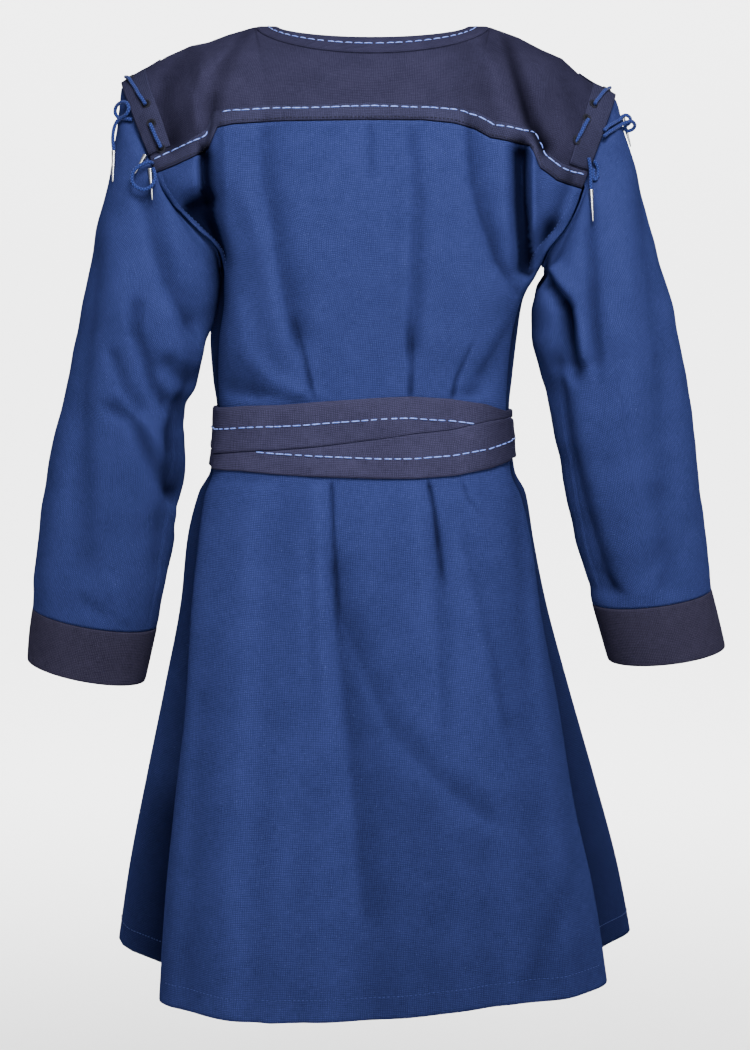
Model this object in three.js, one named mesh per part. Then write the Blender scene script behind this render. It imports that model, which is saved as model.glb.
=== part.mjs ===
// A knee-length laced-sleeve tunic with a wound belt, in the form it has when it is worn.
// Millimetres. X runs across the garment (the wearer's left is +X), +Y is the back, +Z is up.
// The origin is the middle of the line between the two points where the neck meets the shoulders.
import * as THREE from 'three';

// ---------------------------------------------------------------- driving dimensions

const CLOTH = 2;            // wall of the panels, yokes and sleeves
const TRIM = 1.2;           // wall of the bands that lie on a panel
const CLEAR = 0.3;          // gap between pieces that lie on each other
const SIDE_SEAM = 0.8;      // gap at the side seams, whose facets turn a little
const YOKE_SEAM = 0.5;      // half the gap at the yoke seams, which slope where folds cross them
const UNDERARM_Z = -252;    // lowest point of both armholes
const BELT_HEAD = -384;     // the stretch of the panels that the belt presses flat
const BELT_FOOT = -464;
const NECK_SHARE = 0.45;    // part of a yoke's half that lies inside the neck points
const NECK_EDGE = { halfWidth: 97, back: 62, front: 86, backDrop: 17, frontDrop: 40 };
const NECK_SEAM = { halfWidth: 121, back: 75, front: 93, backDrop: 35, frontDrop: 58 };
const YOKE_BAND_WIDTH = 17;
const ARMHOLE_BAND_SHARE = 0.1;
const SHOULDER_TIP = { left: 259, right: -251 };
const BELT = { wall: 2.4, proud: 1.4, flatten: 26, gap: 0.2, clear: 0.5 };
const SLEEVE_HEAD = [
  { columns: 1, out: 0, under: 0.8, deeper: 4.2, beside: 4.4 },
  { columns: 0, out: 4, under: 3.6, deeper: 5, beside: 6.5 },
];
const CUFF_WALL = 2.4;
const LACE_RADIUS = 1.9;
const LACE_SIDES = 8;
const LACE_STEP = 3 * LACE_RADIUS;
const AGLET = { top: 2.5, tip: 0.7, sides: 12 };
const EDGE_HOLD = 30;       // how close to its sewn edge a fold still shows, as a power of the share
const RETURN_SHARE = 0.16;  // part of the front panel's half that turns round the side

const BLUE = new THREE.MeshStandardMaterial({ color: '#24417f', roughness: 0.85, metalness: 0 });
const NAVY = new THREE.MeshStandardMaterial({ color: '#2c2c42', roughness: 0.85, metalness: 0 });
const LACE = new THREE.MeshStandardMaterial({ color: '#2f4a94', roughness: 0.7, metalness: 0 });
const SILVER = new THREE.MeshStandardMaterial({ color: '#d9dade', roughness: 0.25, metalness: 1 });

// ---------------------------------------------------------------- section tables

// Turns a short table into rows with named columns.
function table(columns, rows) {
  return rows.map((row) => Object.fromEntries(columns.map((column, i) => [column, row[i]])));
}

// Back panel, a row for each height. left and right are its edges (armhole, then side seam), leftY
// and rightY their depth, and back the depth of the middle. square says how far out the panel stays
// flat towards each edge, and curl how it turns there: 1 slopes away, smaller ones turn sharply.
const BACK = table(
  ['z', 'left', 'leftY', 'right', 'rightY', 'back', 'squareL', 'curlL', 'squareR', 'curlR'],
  [
    [-100, 219, 60, -214, 60, 109, 3, 1, 3, 1],
    [-154, 219, 60, -215, 59, 112, 3, 1, 3, 1],
    [-181, 206, 57, -209, 56, 114, 3, 1, 3, 1],
    [-208, 180, 52, -197, 52, 115, 3.6, 0.8, 3, 0.9],
    [-235, 155, 42, -177, 42, 114, 5, 0.4, 3, 0.6],
    [-252, 152, 28, -171, 26, 113, 5, 0.3, 3, 0.4],
    [-283, 152, 26, -153, 25, 110, 5, 0.25, 3.4, 0.3],
    [-322, 157, 28, -143, 28, 107, 4.6, 0.25, 3.4, 0.3],
    [-365, 159, 30, -139, 30, 103, 3, 0.34, 2.7, 0.37],
    [-395, 158, 30, -138, 30, 102, 2.8, 0.36, 2.7, 0.37],
    [-460, 165, 38, -143, 36, 104, 2.8, 0.36, 2.7, 0.37],
    [-484, 173, 50, -153, 48, 109, 2.6, 0.38, 2.6, 0.38],
    [-535, 179, 70, -164, 62, 120, 2.6, 0.4, 2.6, 0.4],
    [-598, 185, 82, -172, 75, 132, 2.6, 0.42, 2.6, 0.42],
    [-690, 190, 93, -189, 88, 146, 2.6, 0.45, 2.6, 0.45],
    [-790, 201, 102, -205, 96, 160, 2.6, 0.48, 2.6, 0.48],
    [-890, 211, 108, -227, 101, 174, 2.6, 0.5, 2.6, 0.5],
    [-1010, 219, 112, -245, 104, 189, 2.6, 0.5, 2.6, 0.5],
  ],
);

// Front panel. Above the underarm its edges are the armholes. outL and outR are its widest points
// at depth outY, front is the depth of the middle, and tuckL and tuckR are how far the cloth folds
// in between the side seam and the widest point.
const FRONT = table(
  ['z', 'left', 'leftY', 'right', 'rightY', 'outL', 'outR', 'outY', 'front', 'tuckL', 'tuckR'],
  [
    [-100, 217, -57, -212, -57, 197, -193, -76, -90, 0, 0],
    [-154, 217, -57, -213, -57, 197, -193, -78, -105, 0, 0],
    [-181, 204, -55, -206, -55, 189, -190, -76, -113, 0, 0],
    [-208, 184, -50, -192, -50, 178, -184, -70, -120, 0, 0],
    [-235, 166, -38, -174, -38, 168, -176, -56, -124, 0, 0],
    [-252, 152, 28, -171, 26, 159, -172, -40, -126, 0, 0],
    [-283, 152, 26, -153, 25, 162, -158, -30, -127, 0, 0],
    [-322, 157, 28, -143, 28, 171, -152, -26, -125, 0, 0],
    [-365, 160, 30, -140, 30, 168, -147, -24, -118, 0, 0],
    [-395, 158, 30, -138, 30, 164, -144, -22, -112, 0, 0],
    [-460, 165, 38, -143, 36, 171, -150, -22, -114, 0, 0],
    [-484, 173, 50, -153, 48, 184, -162, -24, -118, 6, 3],
    [-535, 179, 70, -164, 62, 197, -171, -28, -127, 12, 6],
    [-598, 185, 82, -172, 75, 204, -184, -32, -137, 16, 8],
    [-690, 190, 93, -189, 88, 222, -209, -36, -150, 22, 11],
    [-790, 201, 102, -205, 96, 243, -238, -40, -162, 28, 15],
    [-890, 211, 108, -227, 101, 263, -265, -44, -172, 32, 18],
    [-1010, 219, 112, -245, 104, 281, -288, -48, -184, 36, 20],
  ],
);

// Lower edge of each yoke: share is the place across the panel, from 1 at the left to -1.
const BACK_SEAM = table(
  ['share', 'z'],
  [
    [1, -154.5], [0.903, -147], [0.82, -139.5], [0.74, -131], [0.7, -111.5], [0.635, -108.6],
    [0.44, -106], [0, -105], [-0.24, -105], [-0.38, -108], [-0.48, -113], [-0.552, -122],
    [-0.654, -126], [-0.732, -129], [-0.785, -151], [-0.871, -163], [-1, -170],
  ],
);
const FRONT_SEAM = table(
  ['share', 'z'],
  [[1, -154.5], [0.8, -142], [0.55, -126], [0, -118], [-0.55, -128], [-0.8, -152], [-1, -170]],
);

// Height of the shoulder line, from the left tip past both neck points to the right tip.
const SHOULDER = table(
  ['share', 'z'],
  [
    [1, -59], [0.972, -54], [0.892, -43], [0.815, -31], [0.717, -20], [0.645, -16.5],
    [0.566, -9], [0.464, -1.6], [0.45, -1], [-0.45, -1], [-0.492, -4.5], [-0.575, -11.5],
    [-0.678, -24], [-0.767, -33], [-0.838, -48.5], [-0.89, -57.5], [-0.958, -65], [-1, -71],
  ],
);

// Lower edge of the skirt, back and front.
const BACK_HEM = table(
  ['share', 'z'],
  [[1, -993], [0.5, -1001], [0, -994], [-0.5, -984], [-1, -976]],
);
const FRONT_HEM = table(
  ['share', 'z'],
  [[1, -993], [0.84, -977], [0.5, -984], [0, -990], [-0.5, -980], [-0.84, -968], [-1, -976]],
);

// Folds and pleats of the back: a line from (x0, z0) to (x1, z1), how far it stands out (or in,
// below zero), and how quickly it dies away towards +X, towards -X and past its ends.
const FOLD_COLUMNS = ['x0', 'z0', 'x1', 'z1', 'height', 'toLeft', 'toRight', 'fade'];
const BACK_FOLDS = table(FOLD_COLUMNS, [
  [163, -128, 160, -232, -30, 20, 9, 26],
  [-160, -128, -151, -250, -24, 10, 9, 24],
  [-47, -190, -41, -372, -7, 16, 10, 40],
  [58, -378, 90, -290, -6, 14, 12, 40],
  [62, -384, 122, -352, -5, 12, 12, 20],
  [-82, -380, -112, -352, -5, 12, 12, 20],
  [43, -475, 28, -690, 13, 30, 9, 34],
  [-54, -475, -69, -640, 13, 28, 10, 34],
  [128, -560, 150, -960, 8, 34, 34, 90],
  [-128, -620, -160, -960, 9, 36, 30, 90],
]);

// The belt's two turns round the back: top and bottom edges, and the line where they meet. The
// upper turn lies on top at the left and the lower turn at the right.
const BELT_BACK = table(
  ['share', 'top', 'cross', 'bottom'],
  [
    [1, -392.4, -439.5, -455.2], [0.8, -389.6, -436, -455.4], [0.57, -388.5, -434, -458.2],
    [0.3, -385.2, -430.5, -460.6], [-0.1, -381, -423, -462.4], [-0.34, -379.6, -417.5, -462.4],
    [-0.6, -382.3, -413.5, -459.7], [-0.84, -387.9, -405.5, -453.3], [-1, -396.6, -402.5, -445.8],
  ],
);
const BELT_FRONT = table(
  ['share', 'top', 'cross', 'bottom'],
  [[1, -392.4, -439.5, -455.2], [0, -393, -421, -453], [-1, -396.6, -402.5, -445.8]],
);

// Sleeves, a row for each section from the shoulder to the cuff: the outer and the inner point of
// the ring round the arm, the depth of its middle, half its thickness from front to back, and how
// much lower its back lies than its middle.
const SLEEVE_COLUMNS = ['outX', 'outZ', 'inX', 'inZ', 'y', 'depth', 'lean'];
const SLEEVES = {
  left: table(SLEEVE_COLUMNS, [
    [263, -106, 158, -262, 14, 54, 0],
    [270.5, -152, 158.5, -277, 17, 56, 4],
    [286, -212, 162, -300, 18, 57, 7],
    [298, -262, 171, -330, 20, 56, 9],
    [309, -317, 182, -366, 16, 55, 10],
    [321, -375, 191, -406, 9, 54, 10],
    [333, -428, 192.5, -452, 1, 53, 9],
    [350, -512, 205, -523, -12, 50, 8],
    [360, -576, 221.5, -598, -24, 46, 8],
    [361.6, -606, 229.7, -628, -30, 44, 8],
  ]),
  right: table(SLEEVE_COLUMNS, [
    [-260, -108, -178, -262, 6, 54, 0],
    [-273, -148, -167, -276, 8, 58, 4],
    [-291, -205, -164, -294, 10, 58, 7],
    [-307, -263, -165.5, -320, 10, 57, 9],
    [-319, -313, -172, -352, 8, 56, 10],
    [-329, -365, -178.5, -388, 5, 55, 10],
    [-337, -417, -187, -437, 1, 53, 9],
    [-347, -496, -202, -508, -10, 50, 8],
    [-356, -558, -222, -576, -22, 46, 8],
    [-360, -586, -233.5, -602, -28, 44, 8],
  ]),
};
const CUFFS = {
  left: table(SLEEVE_COLUMNS, [
    [361.6, -606.5, 229.7, -628.5, -30, 44.5, 8],
    [366.5, -636, 237, -659, -36, 44.5, 8],
    [369.5, -663, 243.8, -687, -42, 44.5, 8],
  ]),
  right: table(SLEEVE_COLUMNS, [
    [-360, -586.5, -233.5, -602.5, -28, 44.5, 8],
    [-369, -619, -243, -634, -34, 44.5, 8],
    [-377, -649, -252, -664, -40, 44.5, 8],
  ]),
};

// ---------------------------------------------------------------- reading the tables

// Smooth value of one column between rows whose first column falls steadily. The slope at a row is
// the harmonic mean of its neighbours' slopes, and level at a turning point, so nothing overshoots.
function smooth(rows, key, column, at) {
  let i = 0;
  while (i < rows.length - 2 && at < rows[i + 1][key]) {
    i += 1;
  }
  const secant = (k) => (rows[k + 1][column] - rows[k][column]) / (rows[k + 1][key] - rows[k][key]);
  const slope = (k) => {
    const before = secant(Math.max(k - 1, 0));
    const after = secant(Math.min(k, rows.length - 2));
    return before * after > 0 ? (2 * before * after) / (before + after) : 0;
  };
  const span = rows[i + 1][key] - rows[i][key];
  const t = THREE.MathUtils.clamp((at - rows[i][key]) / span, 0, 1);
  const t2 = t * t;
  const t3 = t2 * t;
  return (
    rows[i][column] * (2 * t3 - 3 * t2 + 1)
    + rows[i + 1][column] * (3 * t2 - 2 * t3)
    + slope(i) * span * (t3 - 2 * t2 + t)
    + slope(i + 1) * span * (t3 - t2)
  );
}

// Straight value between rows, for edges with true steps in them.
function linear(rows, key, column, at) {
  let i = 0;
  while (i < rows.length - 2 && at < rows[i + 1][key]) {
    i += 1;
  }
  const t = THREE.MathUtils.clamp((at - rows[i][key]) / (rows[i + 1][key] - rows[i][key]), 0, 1);
  return THREE.MathUtils.lerp(rows[i][column], rows[i + 1][column], t);
}

function bell(distance, width) {
  return Math.exp(-((distance / width) ** 2));
}

// How far all the folds move the cloth at (x, z).
function foldHeight(folds, x, z) {
  let height = 0;
  for (const fold of folds) {
    const t = (z - fold.z0) / (fold.z1 - fold.z0);
    const along = THREE.MathUtils.clamp(t, 0, 1);
    const side = x - THREE.MathUtils.lerp(fold.x0, fold.x1, along);
    const past = (t - along) * Math.abs(fold.z1 - fold.z0);
    height += fold.height * bell(side, side > 0 ? fold.toLeft : fold.toRight) * bell(past, fold.fade);
  }
  return height;
}

// Where the belt lies it presses every fold flat: 0 under it, 1 well away.
function beltFree(z) {
  const outside = Math.max(z - BELT_HEAD, BELT_FOOT - z, 0);
  return THREE.MathUtils.smoothstep(outside, 0, BELT.flatten);
}

// ---------------------------------------------------------------- surfaces of the garment

// Outer face of the back panel, share from 1 (left) to -1 (right).
function backPoint(share, z) {
  const read = (column) => smooth(BACK, 'z', column, z);
  const s = THREE.MathUtils.clamp(share, -1, 1);
  const x = THREE.MathUtils.lerp(read('right'), read('left'), (share + 1) / 2);
  const edgeY = THREE.MathUtils.lerp(read('rightY'), read('leftY'), (s + 1) / 2);
  const square = s > 0 ? read('squareL') : read('squareR');
  const curl = s > 0 ? read('curlL') : read('curlR');
  const crown = (1 - Math.abs(s) ** square) ** curl;
  const y = edgeY + (read('back') - edgeY) * crown;
  const held = 1 - Math.abs(s) ** EDGE_HOLD;
  return new THREE.Vector3(x, y + foldHeight(BACK_FOLDS, x, z) * beltFree(z) * held, z);
}

// Outer face of the front panel, share from 1 (left seam) round the front to -1.
function frontPoint(share, z) {
  const read = (column) => smooth(FRONT, 'z', column, z);
  const left = share > 0;
  const edge = left ? read('left') : read('right');
  const edgeY = left ? read('leftY') : read('rightY');
  const out = left ? read('outL') : read('outR');
  const tuck = left ? read('tuckL') : read('tuckR');
  const size = Math.abs(share);
  if (size > 1 - RETURN_SHARE) {
    const q = (1 - size) / RETURN_SHARE;
    const inward = -Math.sign(out) * tuck * Math.sin(Math.PI * q) ** 2;
    const x = THREE.MathUtils.lerp(edge, out, THREE.MathUtils.smoothstep(q, 0, 1)) + inward;
    return new THREE.Vector3(x, THREE.MathUtils.lerp(edgeY - SIDE_SEAM, read('outY'), q), z);
  }
  const angle = (size / (1 - RETURN_SHARE)) * (Math.PI / 2);
  const x = THREE.MathUtils.lerp(
    (read('outL') + read('outR')) / 2,
    out,
    Math.sin(angle) ** 0.9,
  );
  const y = read('outY') + (read('front') - read('outY')) * Math.cos(angle) ** 0.85;
  return new THREE.Vector3(x, y, z);
}

// A round neck line, from the left neck point (share 0.45) to the right one. depth is the distance
// of its middle behind or in front of the shoulders, drop how far it hangs below them.
function neckLine(share, halfWidth, depth, drop) {
  const angle = (share / NECK_SHARE) * (Math.PI / 2);
  const middle = Math.cos(angle);
  return new THREE.Vector3(
    halfWidth * Math.sin(angle),
    depth * middle,
    linear(SHOULDER, 'share', 'z', share) - drop * middle ** 1.2,
  );
}

// Upper edge of a yoke: the shoulder line, and between its neck points the seam of the neck band.
function yokeTop(share, depth, drop) {
  const size = Math.abs(share);
  if (size < NECK_SHARE) {
    return neckLine(share, NECK_SEAM.halfWidth, depth, drop);
  }
  const tip = share > 0 ? SHOULDER_TIP.left : -SHOULDER_TIP.right;
  const x = THREE.MathUtils.mapLinear(size, NECK_SHARE, 1, NECK_SEAM.halfWidth, tip);
  return new THREE.Vector3(Math.sign(share) * x, 0, linear(SHOULDER, 'share', 'z', share));
}

// A yoke climbs from its seam (rise 0) to the shoulder and neck (rise 1): a quarter round at the
// shoulder tips, and half way between that and a straight slope at the neck.
function yokePoint(bottom, top, share, rise) {
  const t = THREE.MathUtils.clamp(rise, 0, 1);
  const round = THREE.MathUtils.lerp(0.5, 1, THREE.MathUtils.smoothstep(Math.abs(share), 0.3, 1));
  const angle = (t * Math.PI) / 2;
  const up = THREE.MathUtils.lerp(t, Math.sin(angle), round);
  const back = THREE.MathUtils.lerp(t, 1 - Math.cos(angle), round);
  return new THREE.Vector3(
    THREE.MathUtils.lerp(bottom.x, top.x, up),
    THREE.MathUtils.lerp(bottom.y, top.y, back),
    THREE.MathUtils.lerp(bottom.z, top.z, up),
  );
}

// Outer face of the back yoke. It and the front yoke meet along the shoulder line, CLEAR apart.
function backYokePoint(share, rise) {
  const bottom = backPoint(share, linear(BACK_SEAM, 'share', 'z', share));
  bottom.z += YOKE_SEAM;
  const top = yokeTop(share, NECK_SEAM.back, NECK_SEAM.backDrop);
  top.y += CLEAR;
  return yokePoint(bottom, top, share, rise);
}

function frontYokePoint(share, rise) {
  const bottom = frontPoint(share, linear(FRONT_SEAM, 'share', 'z', share));
  bottom.z += YOKE_SEAM;
  return yokePoint(bottom, yokeTop(share, -NECK_SEAM.front, NECK_SEAM.frontDrop), share, rise);
}

// Outward direction of a surface at (u, v), from points a small step away. turn is 1 where u runs
// against the clock seen from above, and -1 where it runs with it.
function outward(surface, u, v, turn) {
  const step = 0.004;
  const u0 = Math.max(u - step, -1);
  const u1 = Math.min(u + step, 1);
  const along = surface(u1, v).sub(surface(u0, v));
  const up = surface(u, v + step).sub(surface(u, v - step));
  const direction = along.cross(up).multiplyScalar(turn);
  const onShoulder = v === 1 && Math.abs(u) >= NECK_SHARE - 1e-6;
  if (onShoulder) {
    direction.y = 0;
  }
  return direction.normalize();
}

// ---------------------------------------------------------------- building solids

function solid(name, positions, indices, material) {
  const geometry = new THREE.BufferGeometry();
  geometry.setAttribute('position', new THREE.Float32BufferAttribute(positions, 3));
  let volume = 0;
  const corner = (i) => new THREE.Vector3().fromArray(positions, indices[i] * 3);
  for (let i = 0; i < indices.length; i += 3) {
    volume += corner(i).dot(corner(i + 1).cross(corner(i + 2)));
  }
  geometry.setIndex(volume > 0 ? indices : indices.slice().reverse());
  geometry.computeVertexNormals();
  const mesh = new THREE.Mesh(geometry, material);
  mesh.name = name;
  return mesh;
}

// A wall between two grids of points, outer and inner, closed along its edges. outer[i][j] has i
// across or round and j up; ring joins the last i to the first.
function wall(name, outer, inner, material, ring = false) {
  const columns = outer.length;
  const rows = outer[0].length;
  const positions = [];
  for (const grid of [outer, inner]) {
    grid.forEach((column) => column.forEach((point) => positions.push(point.x, point.y, point.z)));
  }
  const out = (i, j) => (i % columns) * rows + j;
  const inn = (i, j) => columns * rows + out(i, j);
  const indices = [];
  const quad = (a, b, c, d) => indices.push(a, b, c, a, c, d);
  const spans = ring ? columns : columns - 1;
  for (let i = 0; i < spans; i += 1) {
    for (let j = 0; j < rows - 1; j += 1) {
      quad(out(i, j), out(i + 1, j), out(i + 1, j + 1), out(i, j + 1));
      quad(inn(i, j), inn(i, j + 1), inn(i + 1, j + 1), inn(i + 1, j));
    }
    quad(inn(i, 0), inn(i + 1, 0), out(i + 1, 0), out(i, 0));
    quad(out(i, rows - 1), out(i + 1, rows - 1), inn(i + 1, rows - 1), inn(i, rows - 1));
  }
  if (!ring) {
    for (let j = 0; j < rows - 1; j += 1) {
      quad(out(0, j), out(0, j + 1), inn(0, j + 1), inn(0, j));
      quad(inn(spans, j), inn(spans, j + 1), out(spans, j + 1), out(spans, j));
    }
  }
  return solid(name, positions, indices, material);
}

function moved(point, direction, distance) {
  return point.clone().addScaledVector(direction, distance);
}

// Evenly spread numbers from a to b.
function spread(a, b, steps) {
  return Array.from({ length: steps + 1 }, (_, i) => THREE.MathUtils.lerp(a, b, i / steps));
}

// A panel or band from a surface of (share, height). lift is how far its outer face stands off.
function panel(name, surface, shares, heights, turn, thickness, lift, material) {
  const outer = [];
  const inner = [];
  for (const share of shares) {
    const marks = heights(share);
    const normals = marks.map((v) => outward(surface, share, v, turn));
    outer.push(marks.map((v, j) => moved(surface(share, v), normals[j], lift)));
    inner.push(marks.map((v, j) => moved(surface(share, v), normals[j], lift - thickness)));
  }
  return wall(name, outer, inner, material);
}

const garment = new THREE.Group();

// ---------------------------------------------------------------- back and front panels

// Shares across the garment, with a column at each place where bands begin.
const BAND_START = 1 - ARMHOLE_BAND_SHARE;
const EDGE_COLUMNS = 3;
const BACK_SHARES = [
  ...spread(-1, -BAND_START, EDGE_COLUMNS),
  ...spread(-BAND_START, -NECK_SHARE, 8).slice(1, -1),
  ...spread(-NECK_SHARE, NECK_SHARE, 12),
  ...spread(NECK_SHARE, BAND_START, 8).slice(1, -1),
  ...spread(BAND_START, 1, EDGE_COLUMNS),
];
const FRONT_SHARES = [
  ...spread(-1, RETURN_SHARE - 1, EDGE_COLUMNS),
  ...spread(RETURN_SHARE - 1, -NECK_SHARE, 4).slice(1, -1),
  ...spread(-NECK_SHARE, NECK_SHARE, 6),
  ...spread(NECK_SHARE, 1 - RETURN_SHARE, 4).slice(1, -1),
  ...spread(1 - RETURN_SHARE, 1, EDGE_COLUMNS),
];

// Heights of the panels' rows: the skirt, under the belt, up to the underarm and to the yoke seam.
const SKIRT_ROWS = 10;
const BELT_ROWS = 2;
const WAIST_ROWS = 4;
const ARMHOLE_ROWS = 4;
const panelHeights = (hem, seam) => (share) => [
  ...spread(linear(hem, 'share', 'z', share), BELT_FOOT, SKIRT_ROWS),
  ...spread(BELT_FOOT, BELT_HEAD, BELT_ROWS).slice(1),
  ...spread(BELT_HEAD, UNDERARM_Z, WAIST_ROWS).slice(1),
  ...spread(UNDERARM_Z, linear(seam, 'share', 'z', share) - YOKE_SEAM, ARMHOLE_ROWS).slice(1),
];

garment.add(panel('body_back', backPoint, BACK_SHARES, panelHeights(BACK_HEM, BACK_SEAM),
  -1, CLOTH, 0, BLUE));
garment.add(panel('body_front', frontPoint, FRONT_SHARES, panelHeights(FRONT_HEM, FRONT_SEAM),
  1, CLOTH, 0, BLUE));

// ---------------------------------------------------------------- yokes and the bands on them

// The rise at which a yoke's lower band ends.
function bandRise(surface, share) {
  const start = surface(share, 0);
  let rise = 0;
  while (rise < 1 && surface(share, rise).distanceTo(start) < YOKE_BAND_WIDTH) {
    rise += 0.005;
  }
  return rise;
}

// Rises of a yoke's rows. The front's run downwards, so that a band can cross the shoulder line.
const yokeRises = (surface) => (share) => {
  const rises = [0, ...spread(bandRise(surface, share), 1, 4)];
  return surface === frontYokePoint ? rises.reverse() : rises;
};
const bandRises = (surface) => (share) => {
  const rises = [0, bandRise(surface, share)];
  return surface === frontYokePoint ? rises.reverse() : rises;
};
const ON_YOKE = CLEAR + TRIM;
const BAND_GAP = 0.012;      // rise left between an armhole band and the yoke's lower band

garment.add(panel('yoke_back', backYokePoint, BACK_SHARES, yokeRises(backYokePoint),
  -1, CLOTH, 0, NAVY));
garment.add(panel('yoke_front', frontYokePoint, FRONT_SHARES, yokeRises(frontYokePoint),
  1, CLOTH, 0, NAVY));
garment.add(panel('yoke_band_back', backYokePoint, BACK_SHARES, bandRises(backYokePoint),
  -1, TRIM, ON_YOKE, NAVY));
garment.add(panel('yoke_band_front', frontYokePoint, FRONT_SHARES, bandRises(frontYokePoint),
  1, TRIM, ON_YOKE, NAVY));

// A band along an armhole, from just above the back yoke's lower band over the shoulder to the same
// place in front.
function armholeBand(name, side) {
  const atEdge = (start) => (share) => share * side >= start - 1e-6;
  const halves = [
    [backYokePoint, BACK_SHARES.filter(atEdge(BAND_START)), -1],
    [frontYokePoint, FRONT_SHARES.filter(atEdge(1 - RETURN_SHARE)), 1],
  ];
  const outer = [[], [], [], []];
  const inner = [[], [], [], []];
  for (const [surface, shares, turn] of halves) {
    shares.forEach((share, i) => {
      const foot = bandRise(surface, share);
      for (const rise of yokeRises(surface)(share).filter((mark) => mark > 0)) {
        const normal = outward(surface, share, rise, turn);
        const point = surface(share, rise === foot ? rise + BAND_GAP : rise);
        outer[i].push(moved(point, normal, ON_YOKE));
        inner[i].push(moved(point, normal, CLEAR));
      }
    });
  }
  return wall(name, outer, inner, NAVY);
}

garment.add(armholeBand('armhole_band_left', 1));
garment.add(armholeBand('armhole_band_right', -1));

// The neck band fills the round neck from the yokes' edge to the opening.
function neckBand() {
  const inNeck = (shares) => shares.filter((share) => Math.abs(share) <= NECK_SHARE + 1e-6);
  const back = inNeck(BACK_SHARES);
  const front = inNeck(FRONT_SHARES).reverse().slice(1, -1);
  const rings = [NECK_SEAM, NECK_EDGE].map((line) => [
    ...back.map((share) => neckLine(share, line.halfWidth, line.back, line.backDrop)),
    ...front.map((share) => neckLine(share, line.halfWidth, -line.front, line.frontDrop)),
  ]);
  const columns = rings[0].map((seam, i) => {
    const across = rings[1][i].clone().sub(seam).normalize();
    const next = rings[0][(i + 1) % rings[0].length];
    const last = rings[0][(i + rings[0].length - 1) % rings[0].length];
    const normal = across.clone().cross(next.clone().sub(last)).normalize();
    return { points: [moved(seam, across, 2 * YOKE_SEAM), rings[1][i]], normal };
  });
  const level = (lift) => columns.map((c) => c.points.map((point) => moved(point, c.normal, lift)));
  const top = columns[0].normal.z > 0 ? 0 : -CLOTH;
  return wall('neck_band', level(top), level(top - CLOTH), NAVY, true);
}

garment.add(neckBand());

// ---------------------------------------------------------------- sleeves and cuffs

const RING_STEPS = 4 * ARMHOLE_ROWS;

// A point of a section ring: turn 0 is its outer side, 0.25 its back, 0.5 its inner side.
function ringPoint(section, turn) {
  const angle = turn * Math.PI * 2;
  const out = new THREE.Vector3(section.outX, section.y, section.outZ);
  const inside = new THREE.Vector3(section.inX, section.y, section.inZ);
  const centre = out.clone().add(inside).multiplyScalar(0.5);
  const back = new THREE.Vector3(0, section.depth, -section.lean);
  return centre
    .addScaledVector(out.sub(inside), 0.5 * Math.cos(angle))
    .addScaledVector(back, Math.sin(angle));
}

// A ring of the sleeve's head at one step past the armhole's edge: above the underarm it passes
// under the yokes' edge, and lower down it starts beside the panels' armhole edges.
function sleeveHeadPoint(side, turn, step) {
  const quarter = turn * 4;
  const back = quarter <= 2;
  if (quarter <= 1 || quarter > 3) {
    const down = quarter <= 1 ? quarter : 4 - quarter;
    const surface = back ? backYokePoint : frontYokePoint;
    const share = side * (1 - step.columns * (back ? ARMHOLE_BAND_SHARE : RETURN_SHARE) / EDGE_COLUMNS);
    const rise = down === 1 ? 0 : 1 - down * (1 - bandRise(surface, share));
    const point = surface(share, rise);
    point.x += side * step.out;
    return moved(point, outward(surface, share, rise, back ? -1 : 1), -(CLOTH + step.under));
  }
  const surface = back ? backPoint : frontPoint;
  const top = linear(back ? BACK_SEAM : FRONT_SEAM, 'share', 'z', side);
  const z = THREE.MathUtils.lerp(top, UNDERARM_Z, back ? quarter - 1 : 3 - quarter);
  const edge = surface(side, z);
  edge.x += side * step.beside;
  edge.y -= Math.sign(edge.y) * step.deeper * Math.min(1, Math.abs(edge.y) / 30);
  edge.z += step.beside * 0.6;
  return edge;
}

function tube(name, rings, thickness, material) {
  const grid = spread(0, RING_STEPS - 1, RING_STEPS - 1).map((i) => rings.map((ring) => ring[i]));
  const normals = grid.map((column, i) => column.map((_, j) => {
    const next = grid[(i + 1) % RING_STEPS][j];
    const last = grid[(i + RING_STEPS - 1) % RING_STEPS][j];
    const below = column[Math.min(j + 1, column.length - 1)];
    const above = column[Math.max(j - 1, 0)];
    return next.clone().sub(last).cross(below.clone().sub(above)).normalize();
  }));
  const ring = rings[rings.length - 1];
  const centre = ring.reduce((sum, p) => sum.add(p), new THREE.Vector3()).divideScalar(ring.length);
  const facing = Math.sign(normals[0][rings.length - 1].dot(ring[0].clone().sub(centre)));
  const inner = grid.map((column, i) => column.map((p, j) => moved(p, normals[i][j], -thickness * facing)));
  return wall(name, grid, inner, material, true);
}

const turns = spread(0, 1, RING_STEPS).slice(0, -1);
for (const [name, side] of [['left', 1], ['right', -1]]) {
  const head = SLEEVE_HEAD.map((step) => turns.map((turn) => sleeveHeadPoint(side, turn, step)));
  const rings = SLEEVES[name].map((section) => turns.map((turn) => ringPoint(section, turn)));
  garment.add(tube(`sleeve_${name}`, [...head, ...rings], CLOTH, BLUE));
  const cuff = CUFFS[name].map((section) => turns.map((turn) => ringPoint(section, turn)));
  garment.add(tube(`cuff_${name}`, cuff, CUFF_WALL, NAVY));
}

// ---------------------------------------------------------------- belt

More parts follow.
